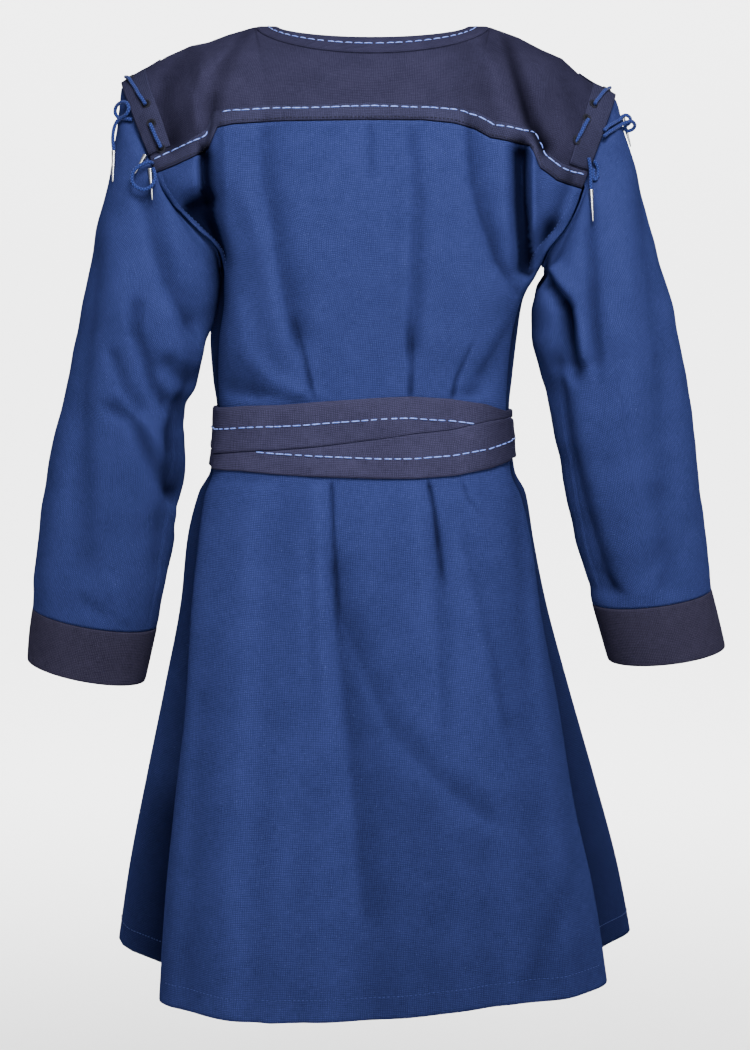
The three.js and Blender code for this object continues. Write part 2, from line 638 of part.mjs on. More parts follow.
// A turn of the belt between two of its edge lines, lying round the panels at the waist.
function beltTurn(name, upper, lower, lift) {
  const halves = [
    [backPoint, BELT_BACK, BACK_SHARES.slice().reverse(), -1],
    [frontPoint, BELT_FRONT, FRONT_SHARES.slice(1, -1), 1],
  ];
  const outer = [];
  const inner = [];
  for (const [surface, edges, shares, turn] of halves) {
    for (const share of shares) {
      const high = linear(edges, 'share', upper, share) - (upper === 'cross' ? BELT.gap : 0);
      const low = linear(edges, 'share', lower, share) + (lower === 'cross' ? BELT.gap : 0);
      const marks = [low, high];
      const stand = marks.map((z) => [surface(share, z), outward(surface, share, z, turn)]);
      const off = CLEAR + BELT.clear + lift(share);
      inner.push(stand.map(([point, normal]) => moved(point, normal, off)));
      outer.push(stand.map(([point, normal]) => moved(point, normal, off + BELT.wall)));
    }
  }
  return wall(name, outer, inner, NAVY, true);
}

// The upper turn stands proud at the left, where it lies on top, and the lower turn at the right.
garment.add(beltTurn('belt_upper_turn', 'top', 'cross', (share) => BELT.proud * (1 + share) / 2));
garment.add(beltTurn('belt_lower_turn', 'cross', 'bottom', (share) => BELT.proud * (1 - share) / 2));

// ---------------------------------------------------------------- laces and aglets

// Middle lines of the laces. A hold is the stretch of a lace that lies on an armhole band between
// two eyelets. A tie is what comes out below the yoke's edge: strands, bow loops and tail.
const LACES = {
  lace_hold_left_upper: [
    [255.5, 1, -52], [253.5, 10, -53], [250, 23.5, -55.5], [245.5, 32.5, -62], [241.5, 40, -67.5],
    [238, 47.5, -73.5], [234, 52, -79], [230, 56, -85],
  ],
  lace_hold_left_lower: [
    [225, 64, -105], [223.5, 65, -108], [221, 67, -113.5], [218.5, 68.5, -119.5], [215.5, 70, -125],
    [213.5, 71, -129.5],
  ],
  lace_hold_right_upper: [
    [-246, 1, -63], [-242, 12.5, -65.5], [-239, 23.5, -67.5], [-235, 31, -72], [-231.5, 37.5, -76.5],
    [-228.5, 43, -80], [-226, 48, -84],
  ],
  lace_hold_right_lower: [
    [-219, 58, -100], [-217, 60.5, -103], [-213.5, 64.5, -109], [-210.5, 67, -115], [-207, 69, -120.5],
    [-204.5, 70, -124],
  ],
  lace_tie_left_upper: [
    [244.5, 46, -99.5], [250.5, 43, -98.5], [256.5, 35.5, -97.5], [260.5, 31, -96], [263.5, 30, -91.5],
    [262.5, 32, -85.5], [257, 37, -81.5], [250.5, 43.5, -82.5], [248, 47, -88.5], [250.5, 46, -94],
    [256.5, 40, -97.5], [261, 37, -100.5], [264, 36, -106.5], [265.5, 36, -114.5],
    [265.5, 37, -122.5], [264.5, 38, -130],
  ],
  lace_tie_left_lower: [
    [222.5, 65, -144.5], [225, 69, -144], [228, 71, -144.5], [232.5, 72, -146.5],
    [237.5, 72.5, -149.5], [241.5, 72.5, -154], [243, 72.5, -160], [241.5, 72.5, -166],
    [237, 72.5, -170], [231, 72.5, -171.5], [225, 72.5, -169.5], [221, 72, -165],
    [219.5, 70.5, -159], [220.5, 69.5, -153.5], [222, 70, -149.5],
  ],
  lace_tie_right_upper: [
    [-235.5, 50, -111], [-240.5, 44, -106], [-245.5, 38, -103], [-249.5, 31.5, -100.5],
    [-254, 27, -98], [-256.5, 24, -94.5], [-261, 22, -93], [-265, 21, -96], [-264.5, 20, -100.5],
    [-261.5, 18, -103], [-259.5, 16, -106], [-263.5, 15, -108.5], [-268.5, 16, -106.5],
    [-270, 19, -103], [-267, 22, -99.5], [-262, 25.5, -100], [-256.5, 28.5, -102.5],
    [-251, 33, -106], [-246, 40, -109], [-240, 46, -113], [-235, 52, -117],
  ],
  lace_tie_right_lower: [
    [-219, 62.5, -139], [-220, 62, -143.5], [-221, 61, -149.5], [-221.5, 60, -156.5],
    [-221.5, 59.5, -163.5], [-222, 60, -170.5],
  ],
  lace_loop_right_lower: [
    [-225, 57.5, -141.5], [-228, 57, -146], [-229.5, 56.5, -152], [-228.5, 57.5, -158],
    [-226, 58, -161], [-224.5, 57.5, -157], [-224.5, 56.5, -150],
  ],
};

function lace(name, route) {
  const points = route.map((point) => new THREE.Vector3(...point));
  const path = new THREE.CatmullRomCurve3(points, false, 'centripetal');
  const section = new THREE.Shape().absarc(0, 0, LACE_RADIUS, 0, Math.PI * 2);
  const geometry = new THREE.ExtrudeGeometry(section, {
    extrudePath: path,
    steps: Math.round(path.getLength() / LACE_STEP),
    curveSegments: LACE_SIDES / 2,
  });
  const mesh = new THREE.Mesh(geometry, LACE);
  mesh.name = name;
  return mesh;
}

for (const [name, route] of Object.entries(LACES)) {
  garment.add(lace(name, route));
}

// The metal tips: the middle of each one's wide end, and the middle of its narrow end.
const AGLETS = {
  aglet_left_upper: [[264.5, 38.5, -130.5], [265, 45, -162.5]],
  aglet_left_lower_a: [[230, 61, -136], [240.5, 64, -155]],
  aglet_left_lower_b: [[225, 65, -150], [222.5, 70.5, -182]],
  aglet_right_upper: [[-258.3, 9, -93.5], [-267, 10, -124.5]],
  aglet_right_lower: [[-222, 60, -171], [-223.5, 66.5, -203.5]],
};

function aglet(name, [top, tip]) {
  const start = new THREE.Vector3(...top);
  const along = new THREE.Vector3(...tip).sub(start);
  const profile = [[0, 0], [AGLET.top, 0], [AGLET.tip, along.length()], [0, along.length()]];
  const points = profile.map(([radius, height]) => new THREE.Vector2(radius, height));
  const mesh = new THREE.Mesh(new THREE.LatheGeometry(points, AGLET.sides), SILVER);
  mesh.name = name;
  mesh.position.copy(start);
  mesh.quaternion.setFromUnitVectors(new THREE.Vector3(0, 1, 0), along.normalize());
  return mesh;
}

for (const [name, ends] of Object.entries(AGLETS)) {
  garment.add(aglet(name, ends));
}

export default garment;
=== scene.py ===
"""A knee-length tunic with laced-on sleeves and a wound belt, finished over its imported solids.

Shapes are worked out in millimetres and put into meshes in metres. X runs across the garment (the
wearer's left is +X), +Y is the back and +Z is up. The origin lies between the two neck points.
"""

import logging
import math
from dataclasses import dataclass, field
from enum import Enum
from functools import partial
from typing import Callable, Iterable, Sequence

import bpy
import numpy as np
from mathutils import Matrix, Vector


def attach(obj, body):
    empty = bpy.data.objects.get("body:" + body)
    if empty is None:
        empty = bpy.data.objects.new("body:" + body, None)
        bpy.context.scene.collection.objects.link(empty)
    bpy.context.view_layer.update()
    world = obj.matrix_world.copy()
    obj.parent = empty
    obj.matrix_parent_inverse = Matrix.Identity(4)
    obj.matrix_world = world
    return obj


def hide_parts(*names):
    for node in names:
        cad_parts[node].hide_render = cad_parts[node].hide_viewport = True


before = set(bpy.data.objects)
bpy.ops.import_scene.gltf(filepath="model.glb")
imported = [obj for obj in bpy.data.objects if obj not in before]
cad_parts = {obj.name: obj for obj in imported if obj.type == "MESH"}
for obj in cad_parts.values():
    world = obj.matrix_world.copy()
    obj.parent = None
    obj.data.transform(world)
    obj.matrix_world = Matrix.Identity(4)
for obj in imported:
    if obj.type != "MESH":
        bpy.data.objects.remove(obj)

Array = np.ndarray
Surface = Callable[[Array, Array], Array]
Object = bpy.types.Object
Material = bpy.types.Material
Tree = bpy.types.NodeTree
Socket = bpy.types.NodeSocket
Place = tuple[float, float, float]

LOG = logging.getLogger("tunic")
MM = 0.001
BODY = "root"

# Sizes shared with the solids, in millimetres.
CLOTH = 1.6
UNDERARM_Z = -252
BELT_HEAD = -384
BELT_FOOT = -464
BELT_FLATTEN = 7
NECK_SHARE = 0.45
EDGE_HOLD = 30
RETURN_SHARE = 0.16
SHOULDER_TIP = {1: 259, -1: 251}
BAND_WIDTH = 17

# A wave texture of scale 1 repeats after this length.
WAVE_LENGTH = math.pi / 10
# The tone of cloth with no painted shade, painted light or wear, and how much a whole unit of painted shade
# takes off it.
PLAIN_TONE = 0.5
SHADE_WEIGHT = 0.5


class Named(Enum):
    """Options whose names go into the pieces' names."""

    @property
    def word(self) -> str:
        """The name in lower case."""
        return self.name.lower()


class Side(Named):
    """The wearer's left (+X) or right (-X)."""

    LEFT = 1
    RIGHT = -1


class Face(Named):
    """The back (+Y) or front (-Y) of the garment."""

    BACK = 1
    FRONT = -1


class Profile(Enum):
    """How a crease falls away from its line."""

    SOFT = "soft"
    PINCHED = "pinched"


# ------------------------------------------------------------------ arithmetic on whole arrays


def smoothstep(x: Array, low: float, high: float) -> Array:
    """0 below low, 1 above high, and 3t^2 - 2t^3 between them."""
    t = np.clip((x - low) / (high - low), 0, 1)
    return t * t * (3 - 2 * t)


def lerp(a: Array, b: Array, t: Array) -> Array:
    """The value a share t of the way from a to b."""
    return a + (b - a) * t


def bell(distance: Array, width: Array) -> Array:
    """exp(-(distance / width)^2)."""
    return np.exp(-((distance / width) ** 2))


def rounded(t: Array, power: float, least: float = 0) -> Array:
    """A rounded edge, (1 - |2t - 1|^power)^0.5: 1 in the middle, and least^0.5 at t of 0 and 1."""
    return np.clip(1 - np.abs(2 * t - 1) ** power, least, 1) ** 0.5


def unit(vectors: Array) -> Array:
    """Vectors scaled to length 1."""
    return vectors / np.maximum(np.linalg.norm(vectors, axis=-1, keepdims=True), 1e-9)


def point(x: Array, y: Array, z: Array) -> Array:
    """Points from their three coordinates, which may be arrays of any matching shape."""
    return np.stack(np.broadcast_arrays(x, y, z), -1).astype(float)


def ripple(a: Array, b: Array, wave: float, seed: int) -> Array:
    """A smooth uneven field from -1 to 1: four sine waves of about one length in fixed directions.

    Args:
        a: First coordinate, in millimetres.
        b: Second coordinate, in millimetres.
        wave: Wavelength, in millimetres.
        seed: Chooses the directions and phases.

    Returns:
        The field at each point.
    """
    rng = np.random.default_rng(seed)
    total = np.zeros(np.broadcast(a, b).shape)
    for angle, phase, stretch in rng.uniform([0, 0, 0.7], [math.pi, 2 * math.pi, 1.4], (4, 3)):
        along = a * math.cos(angle) + b * math.sin(angle)
        total += np.sin(along * 2 * math.pi / (wave * stretch) + phase)
    return total / 4


@dataclass(frozen=True)
class Table:
    """Rows of named columns whose first column falls steadily."""

    columns: tuple[str, ...]
    rows: tuple[tuple[float, ...], ...]

    def column(self, name: str) -> Array:
        """One column as an array."""
        return np.array([row[self.columns.index(name)] for row in self.rows], float)

    def _keyed(self, name: str, at: Array) -> tuple[Array, Array, Array]:
        """The falling keys and places to read turned to rising ones, and a column."""
        return -self.column(self.columns[0]), -np.asarray(at, float), self.column(name)

    def linear(self, name: str, at: Array) -> Array:
        """Straight value of a column between rows."""
        keys, at, values = self._keyed(name, at)
        i = np.clip(np.searchsorted(keys, at) - 1, 0, len(keys) - 2)
        t = np.clip((at - keys[i]) / (keys[i + 1] - keys[i]), 0, 1)
        return lerp(values[i], values[i + 1], t)

    def smooth(self, name: str, at: Array) -> Array:
        """Cubic value of a column between rows, level beyond the first and last."""
        keys, at, values = self._keyed(name, at)
        return pchip(keys, values, np.clip(at, keys[0], keys[-1]))


def pchip(keys: Array, values: Array, at: Array) -> Array:
    """Cubic curve through rows of values at rising keys.

    The slope at a row is the harmonic mean of the slopes beside it, and level at a turning
    point, so nothing overshoots.

    Args:
        keys: Rising positions of the rows.
        values: The rows, of any shape after the first axis.
        at: Positions to read.

    Returns:
        One row for each position.
    """
    i = np.clip(np.searchsorted(keys, at, "right") - 1, 0, len(keys) - 2)
    wide = (slice(None),) + (None,) * (values.ndim - 1)
    secant = np.diff(values, axis=0) / np.diff(keys)[wide]
    before = np.concatenate([secant[:1], secant])
    after = np.concatenate([secant, secant[-1:]])
    product = before * after
    slope = np.where(product > 0, 2 * product / np.where(product > 0, before + after, 1), 0)
    span = (keys[i + 1] - keys[i])[wide]
    t = (at - keys[i])[wide] / span
    t2, t3 = t * t, t * t * t
    ends = values[i] * (2 * t3 - 3 * t2 + 1) + values[i + 1] * (3 * t2 - 2 * t3)
    return ends + span * (slope[i] * (t3 - 2 * t2 + t) + slope[i + 1] * (t3 - t2))


# ------------------------------------------------------------------ section tables, millimetres

BACK = Table(
    ("z", "left", "leftY", "right", "rightY", "back", "squareL", "curlL", "squareR", "curlR"),
    (
        (-100, 219, 60, -214, 60, 109, 3, 1, 3, 1),
        (-154, 219, 60, -215, 59, 112, 3, 1, 3, 1),
        (-181, 206, 57, -209, 56, 114, 3, 1, 3, 1),
        (-208, 180, 52, -197, 52, 115, 3.6, 0.8, 3, 0.9),
        (-235, 155, 42, -177, 42, 114, 5, 0.4, 3, 0.6),
        (-252, 152, 28, -171, 26, 113, 5, 0.3, 3, 0.4),
        (-283, 152, 26, -153, 25, 110, 5, 0.25, 3.4, 0.3),
        (-322, 157, 28, -143, 28, 107, 4.6, 0.25, 3.4, 0.3),
        (-365, 159, 30, -139, 30, 103, 3, 0.34, 2.7, 0.37),
        (-395, 158, 30, -138, 30, 102, 2.8, 0.36, 2.7, 0.37),
        (-460, 165, 38, -143, 36, 104, 2.8, 0.36, 2.7, 0.37),
        (-484, 173, 50, -153, 48, 109, 2.6, 0.38, 2.6, 0.38),
        (-535, 179, 70, -164, 62, 120, 2.6, 0.4, 2.6, 0.4),
        (-598, 185, 82, -172, 75, 132, 2.6, 0.42, 2.6, 0.42),
        (-690, 190, 93, -189, 88, 146, 2.6, 0.45, 2.6, 0.45),
        (-790, 201, 102, -205, 96, 160, 2.6, 0.48, 2.6, 0.48),
        (-890, 211, 108, -227, 101, 174, 2.6, 0.5, 2.6, 0.5),
        (-1010, 219, 112, -245, 104, 189, 2.6, 0.5, 2.6, 0.5),
    ),
)
FRONT = Table(
    ("z", "left", "leftY", "right", "rightY", "outL", "outR", "outY", "front", "tuckL", "tuckR"),
    (
        (-100, 217, -57, -212, -57, 197, -193, -76, -90, 0, 0),
        (-154, 217, -57, -213, -57, 197, -193, -78, -105, 0, 0),
        (-181, 204, -55, -206, -55, 189, -190, -76, -113, 0, 0),
        (-208, 184, -50, -192, -50, 178, -184, -70, -120, 0, 0),
        (-235, 166, -38, -174, -38, 168, -176, -56, -124, 0, 0),
        (-252, 152, 28, -171, 26, 165, -172, -40, -126, 0, 0),
        (-283, 152, 26, -153, 25, 168, -158, -30, -127, 0, 0),
        (-322, 157, 28, -143, 28, 171, -152, -26, -125, 0, 0),
        (-365, 160, 30, -140, 30, 168, -147, -24, -118, 0, 0),
        (-395, 158, 30, -138, 30, 164, -144, -22, -112, 0, 0),
        (-460, 165, 38, -143, 36, 171, -150, -22, -114, 0, 0),
        (-484, 173, 50, -153, 48, 184, -162, -24, -118, 6, 3),
        (-535, 179, 70, -164, 62, 197, -171, -28, -127, 12, 6),
        (-598, 185, 82, -172, 75, 204, -184, -32, -137, 16, 8),
        (-690, 190, 93, -189, 88, 222, -209, -36, -150, 22, 11),
        (-790, 201, 102, -205, 96, 243, -238, -40, -162, 28, 15),
        (-890, 211, 108, -227, 101, 263, -265, -44, -172, 32, 18),
        (-1010, 219, 112, -245, 104, 281, -288, -48, -184, 36, 20),
    ),
)
SEAM = {
    Face.BACK: Table(
        ("share", "z"),
        (
            (1, -154.5), (0.903, -147), (0.82, -139.5), (0.74, -131), (0.7, -111.5),
            (0.635, -108.6), (0.44, -106), (0, -105), (-0.24, -105), (-0.38, -108),
            (-0.48, -113), (-0.552, -122), (-0.654, -126), (-0.732, -129), (-0.785, -151),
            (-0.871, -163), (-1, -170),
        ),
    ),
    Face.FRONT: Table(
        ("share", "z"),
        ((1, -154.5), (0.8, -142), (0.55, -126), (0, -118), (-0.55, -128), (-0.8, -152), (-1, -170)),
    ),
}
SHOULDER = Table(
    ("share", "z"),
    (
        (1, -59), (0.972, -54), (0.892, -43), (0.815, -31), (0.717, -20), (0.645, -16.5),
        (0.566, -9), (0.464, -1.6), (0.45, -1), (-0.45, -1), (-0.492, -4.5), (-0.575, -11.5),
        (-0.678, -24), (-0.767, -33), (-0.838, -48.5), (-0.89, -57.5), (-0.958, -65), (-1, -71),
    ),
)
HEM = {
    Face.BACK: Table(("share", "z"), ((1, -993), (0.5, -1001), (0, -994), (-0.5, -984), (-1, -976))),
    Face.FRONT: Table(
        ("share", "z"),
        (
            (1, -993), (0.965, -981), (0.9, -980), (0.865, -975), (0.84, -966), (0.8, -972), (0.5, -984),
            (0, -990), (-0.5, -980), (-0.84, -959), (-0.9, -962), (-0.96, -965), (-1, -976),
        ),
    ),
}
BELT_EDGES = {
    Face.BACK: Table(
        ("share", "top", "cross", "bottom"),
        (
            (1, -392.4, -439.5, -455.2), (0.8, -389.6, -436, -455.4), (0.57, -388.5, -434, -458.2),
            (0.3, -385.2, -430.5, -460.6), (-0.1, -381, -423, -462.4),
            (-0.34, -379.6, -417.5, -462.4), (-0.6, -382.3, -413.5, -459.7),
            (-0.84, -387.9, -405.5, -453.3), (-1, -396.6, -402.5, -445.8),
        ),
    ),
    Face.FRONT: Table(
        ("share", "top", "cross", "bottom"),
        ((1, -392.4, -439.5, -455.2), (0, -393, -421, -453), (-1, -396.6, -402.5, -445.8)),
    ),
}
SECTION = ("outX", "outZ", "inX", "inZ", "y", "depth", "lean")
SLEEVES = {
    Side.LEFT: (
        (263, -106, 158, -262, 14, 54, 0),
        (270.5, -152, 158.5, -277, 17, 56, 4),
        (286, -212, 162, -300, 18, 57, 7),
        (298, -262, 171, -330, 20, 56, 9),
        (309, -317, 182, -366, 16, 55, 10),
        (321, -375, 191, -406, 9, 54, 10),
        (333, -428, 192.5, -452, 1, 53, 9),
        (350, -512, 205, -523, -12, 50, 8),
        (360, -576, 221.5, -598, -24, 46, 8),
        (361.6, -606, 229.7, -628, -30, 44, 8),
    ),
    Side.RIGHT: (
        (-260, -108, -178, -262, 6, 54, 0),
        (-273, -148, -167, -276, 8, 58, 4),
        (-291, -205, -164, -294, 10, 58, 7),
        (-307, -263, -165.5, -320, 10, 57, 9),
        (-319, -313, -172, -352, 8, 56, 10),
        (-329, -365, -178.5, -388, 5, 55, 10),
        (-337, -417, -187, -437, 1, 53, 9),
        (-347, -496, -202, -508, -10, 50, 8),
        (-356, -558, -222, -576, -22, 46, 8),
        (-360, -586, -233.5, -602, -28, 44, 8),
    ),
}
CUFFS = {
    Side.LEFT: (
        (361.6, -606.5, 229.7, -628.5, -30, 44.5, 8),
        (366.5, -636, 237, -659, -36, 44.5, 8),
        (369.5, -663, 243.8, -687, -42, 44.5, 8),
    ),
    Side.RIGHT: (
        (-360, -586.5, -233.5, -602.5, -28, 44.5, 8),
        (-369, -619, -243, -634, -34, 44.5, 8),
        (-377, -649, -252, -664, -40, 44.5, 8),
    ),
}

# ------------------------------------------------------------------ creases


@dataclass(frozen=True)
class Crease:
    """A fold or trough of the cloth along a line seen square on, in millimetres.

    path holds (x, z) points from one end to the other. height is how far the cloth stands out
    (in, below zero), left and right how far the fold reaches towards +X and -X at its first and
    last point, fade how far it runs on past its ends, and ends the share of height there. lean
    pushes the cloth on its -X side over the trough, towards +X; below zero, the other way round.
    shade is painted shade: how much light the fold keeps out, up to 1; below 0, painted light that it
    catches.
    """

    path: tuple[tuple[float, float], ...]
    height: float
    left: float | tuple[float, float]
    right: float | tuple[float, float]
    fade: float = 30
    ends: tuple[float, float] = (1, 1)
    profile: Profile = Profile.SOFT
    lean: float = 0
    shade: float = 0

    def _measure(self, x: Array, z: Array) -> tuple[Array, Array, Array]:
        """How far (x, z) lies across the path, the share of the way along it, and the strength."""
        points = np.array(self.path, float)
        steps = np.diff(points, axis=0)
        lengths = np.linalg.norm(steps, axis=1)
        starts = np.concatenate([[0], np.cumsum(lengths)[:-1]])
        nearest = np.full(np.shape(x), np.inf)
        across = np.zeros(np.shape(x))
        place = np.zeros(np.shape(x))
        for start, step, length, done in zip(points, steps, lengths, starts):
            dx, dz = x - start[0], z - start[1]
            run = (dx * step[0] + dz * step[1]) / length
            side = (dz * step[0] - dx * step[1]) / length
            gap = np.hypot(side, run - np.clip(run, 0, length))
            closer = gap < nearest
            nearest = np.where(closer, gap, nearest)
            across = np.where(closer, side, across)
            place = np.where(closer, done + run, place)
        total = lengths.sum()
        across = across * (1 if points[-1, 1] < points[0, 1] else -1)
        share = np.clip(place / total, 0, 1)
        past = np.maximum(-place, 0) + np.maximum(place - total, 0)
        return across, share, lerp(*self.ends, share) * bell(past, self.fade)

    def at(self, x: Array, z: Array) -> Array:
        """Height at (x, z).

        The distance across the nearest stretch of the path goes through the profile, and the
        distance past the path's end through a bell as wide as fade.

        Args:
            x: Across the garment.
            z: Up.

        Returns:
            The height that this crease adds at each point.
        """
        return self.height * self.shape(x, z)

    def shape(self, x: Array, z: Array) -> Array:
        """The same without the height: 1 on the line and 0 far from it."""
        across, share, strength = self._measure(x, z)
        left, right = (np.broadcast_to(w, 2) for w in (self.left, self.right))
        reach = across / np.where(across > 0, lerp(*left, share), lerp(*right, share))
        if self.profile is Profile.PINCHED:
            return strength / (1 + 2.5 * reach**2) ** 2
        return strength * np.exp(-(reach**2))

    def push(self, x: Array, z: Array) -> Array:
        """How far (x, z) is moved towards +X: lean beside the line on its own side, little past it."""
        across, _, strength = self._measure(x, z)
        near = -across * np.sign(self.lean)
        return self.lean * strength * bell(near, np.where(near > 0, 16, 3))


def crease_height(creases: Iterable[Crease], x: Array, z: Array) -> Array:
    """The creases' heights added up at (x, z)."""
    return sum((crease.at(x, z) for crease in creases), np.zeros(np.shape(x)))


def crease_push(creases: Iterable[Crease], x: Array, z: Array) -> Array:
    """The creases' sideways moves added up at (x, z)."""
    return sum((crease.push(x, z) for crease in creases if crease.lean), np.zeros(np.shape(x)))


def crease_shade(creases: Iterable[Crease], x: Array, z: Array) -> Array:
    """The light that the creases keep out at (x, z), added up."""
    shaded = (crease.shade * crease.shape(x, z) for crease in creases if crease.shade)
    return sum(shaded, np.zeros(np.shape(x)))


def tone_of(height: Array, ring: bool = False, passes: int = 30, depth: float = 21) -> Array:
    """Painted shade in the troughs of a grid of fold heights, below 0.5, and painted light and wear on its
    ridges, above it.

    The heights are smoothed by passes of (1, 2, 1) / 4 both ways, and the tone is
    0.5 + (height - smoothed) / depth, less up to 0.5 of painted shade in a slot deeper than 12 mm.

    Args:
        height: Fold heights in millimetres, shape (across, up).
        ring: Whether the last column joins the first.
        passes: How many times the heights are smoothed.
        depth: The difference that makes a whole step.

    Returns:
        The tone, from 0 to 1.
    """
    smoothed = height
    for _ in range(passes):
        wide = np.pad(smoothed, ((1, 1), (0, 0)), "wrap" if ring else "edge")
        smoothed = (wide[:-2] + 2 * wide[1:-1] + wide[2:]) / 4
        tall = np.pad(smoothed, ((0, 0), (1, 1)), "edge")
        smoothed = (tall[:, :-2] + 2 * tall[:, 1:-1] + tall[:, 2:]) / 4
    # Painted shade in slots deeper than 12 mm.
    slots = 0.5 * smoothstep(-height, 12, 30)
    return np.clip(PLAIN_TONE + (height - smoothed) / depth - slots, 0, 1)


SHARP = Profile.PINCHED
BACK_CREASES = (
    # The slot beside the left armhole with painted shade in it, and the edge of cloth that stands over it.
    Crease(((160, -84), (161, -108), (165, -130)), -6, 11, 4, 14, (0.4, 1), lean=2, shade=0.3),
    Crease(((171, -140), (171, -156), (170, -180)), -20, 4, 10, 9, shade=0.8),
    Crease(((176, -186), (168, -208), (156, -236)), -34, (18, 14), (14, 7), 10, shade=1),
    Crease(((188, -198), (174, -214), (160, -234)), -5, 12, 14, 9, shade=0.8),
    Crease(((146, -116), (144, -240), (144, -330)), 5, 6, 30, 30, (1, 0.6)),
    # The slot beside the right armhole with painted shade in it, and its line up through the yoke.
    Crease(
        ((-137, -22), (-146, -60), (-157, -104), (-168, -128)), -13, 6, 10, 12, (0.4, 1), lean=-2, shade=0.3
    ),
    Crease(((-150, -138), (-151, -183), (-154, -218), (-158, -246)), -28, 12, 6, 12, lean=-1, shade=0.6),
    Crease(((-161, -140), (-162, -205)), 5, 4, 6, 14),
    Crease(((-184, -214), (-168, -246)), -13, 14, 14, 14, shade=0.5),
    Crease(((-198, -168), (-188, -198), (-178, -216)), -4, 8, 6, 14, shade=0.2),
    # The shoulders, with painted shade in two troughs.
    Crease(((186, -30), (206, -60), (212, -85), (204, -122)), -12, 14, 16, 14, (0.5, 1), shade=0.4),
    Crease(((150, -26), (172, -52), (180, -80), (176, -104)), 6, 8, 9, 14),
    Crease(((128, -6), (150, -44), (156, -84)), -4, 9, 9, 14, shade=0.1),
    Crease(((-100, -10), (-122, -50), (-132, -96)), 5, 11, 9, 20),
    Crease(((-176, -44), (-186, -84), (-196, -120)), 4, 14, 12, 20),
    # Long soft folds from the yoke's seam down the back, some with a little painted shade.
    Crease(((108, -122), (106, -170), (94, -225), (86, -272), (78, -312)), -9, 5, 15, 22, (0.6, 1)),
    Crease(((122, -190), (104, -265), (92, -318)), 4, 12, 8, 24),
    Crease(((76, -312), (66, -348), (56, -392)), -7, 9, 4, 14, (0.4, 1.1), SHARP, 1, 0.1),
    Crease(((134, -296), (124, -340), (100, -366), (64, -380)), 7, 14, 10, 14, (0.5, 1)),
    Crease(((140, -372), (100, -384)), -6, 12, 14, 16),
    Crease(((3, -118), (2, -150)), -3, 4, 6, 16),
    Crease(((-40, -128), (-45, -185), (-43, -270), (-39, -326)), -9, 7, 9, 18, (0.5, 1)),
    Crease(((-39, -318), (-40, -352), (-39, -392)), -6.5, 8, 4, 14, (0.4, 1.2), SHARP, 1, 0.1),
    Crease(((-26, -170), (-24, -330)), -2.5, 10, 8, 40),
    Crease(((-98, -116), (-102, -166), (-112, -206), (-126, -244), (-144, -270)), -10, 5, 15, 18, (0.8, 1.2)),
    Crease(((-84, -130), (-90, -230)), 3, 16, 10, 30),
    Crease(((-134, -140), (-138, -236)), 4, 9, 7, 20),
    Crease(((-96, -336), (-84, -362), (-77, -392)), -6, 4, 7, 12, (0.5, 1.2), SHARP, -1, 0.12),
    Crease(((-138, -312), (-112, -356), (-82, -384)), -7, 6, 16, 14, (0.8, 1)),
    Crease(((-102, -364), (-84, -382)), 4, 6, 6, 8),
    # Pleats that open out below the belt, with painted shade in their sharp folds and painted light on two
    # ridges.
    Crease(((44, -456), (41, -525), (37, -580)), -5.5, 2.4, 7, 26, (1.1, 0.8), SHARP, -1.2, 0.12),
    Crease(
        ((39, -560), (33, -600), (26, -650), (19, -720), (12, -800), (6, -880)), -10, 7, 20, 26, (0.8, 0.4)
    ),
    Crease(((56, -475), (54, -600), (44, -720)), 6, 16, 10, 30, (1, 0.5), shade=-0.4),
    Crease(((64, -540), (62, -650)), -3, 6, 8, 30),
    Crease(((24, -610), (0, -665), (-22, -712), (-60, -752), (-108, -790)), -8, 7, 18, 26, (0.4, 0.6)),
    Crease(((-52, -456), (-60, -496), (-66, -545)), -7, 2.6, 9, 24, (1, 0.8), SHARP, -1.5, 0.18),
    Crease(((-64, -530), (-69, -580), (-71, -640), (-72, -700)), -8, 6, 12, 26, (0.8, 0.4)),
    Crease(((-42, -480), (-52, -600)), 5, 14, 8, 24, (1, 0.5), shade=-0.3),
    Crease(((-86, -456), (-95, -482), (-104, -494)), -3, 3, 5, 10, (1.2, 0.4), SHARP, -1, 0.08),
    Crease(((-98, -540), (-122, -630), (-136, -700)), -7, 8, 18, 30, (0.7, 1)),
    Crease(((-150, -500), (-154, -640)), -5, 12, 12, 40),
    Crease(((120, -480), (134, -600), (146, -980)), 6, 26, 20, 40),
    Crease(((96, -520), (104, -700), (112, -980)), -5, 16, 22, 50),
    Crease(((172, -700), (186, -980)), -5, 14, 16, 50),
    Crease(((70, -800), (78, -990)), -5, 20, 22, 50),
    Crease(((-30, -860), (-38, -990)), 4, 22, 24, 40),
    Crease(((-110, -840), (-122, -990)), -5, 20, 22, 40),
    Crease(((-168, -620), (-176, -760), (-196, -980)), 7, 22, 18, 50),
    Crease(((-190, -880), (-160, -960)), -4, 14, 14, 30),
    # Painted shade along the panel's left edge towards the hem.
    Crease(((204, -760), (214, -860), (222, -1000)), -1, 14, 34, 60, (0.7, 1), shade=0.2),
    # Painted shade on wide parts of the skirt's middle and right.
    Crease(((20, -640), (4, -800), (-10, -1000)), -1, 26, 56, 90, shade=0.24),
    Crease(((-70, -800), (-84, -900), (-100, -1000)), -1, 56, 60, 50, shade=0.2),
    Crease(((-150, -520), (-164, -800), (-190, -1000)), -1, 40, 50, 80, shade=0.28),
)
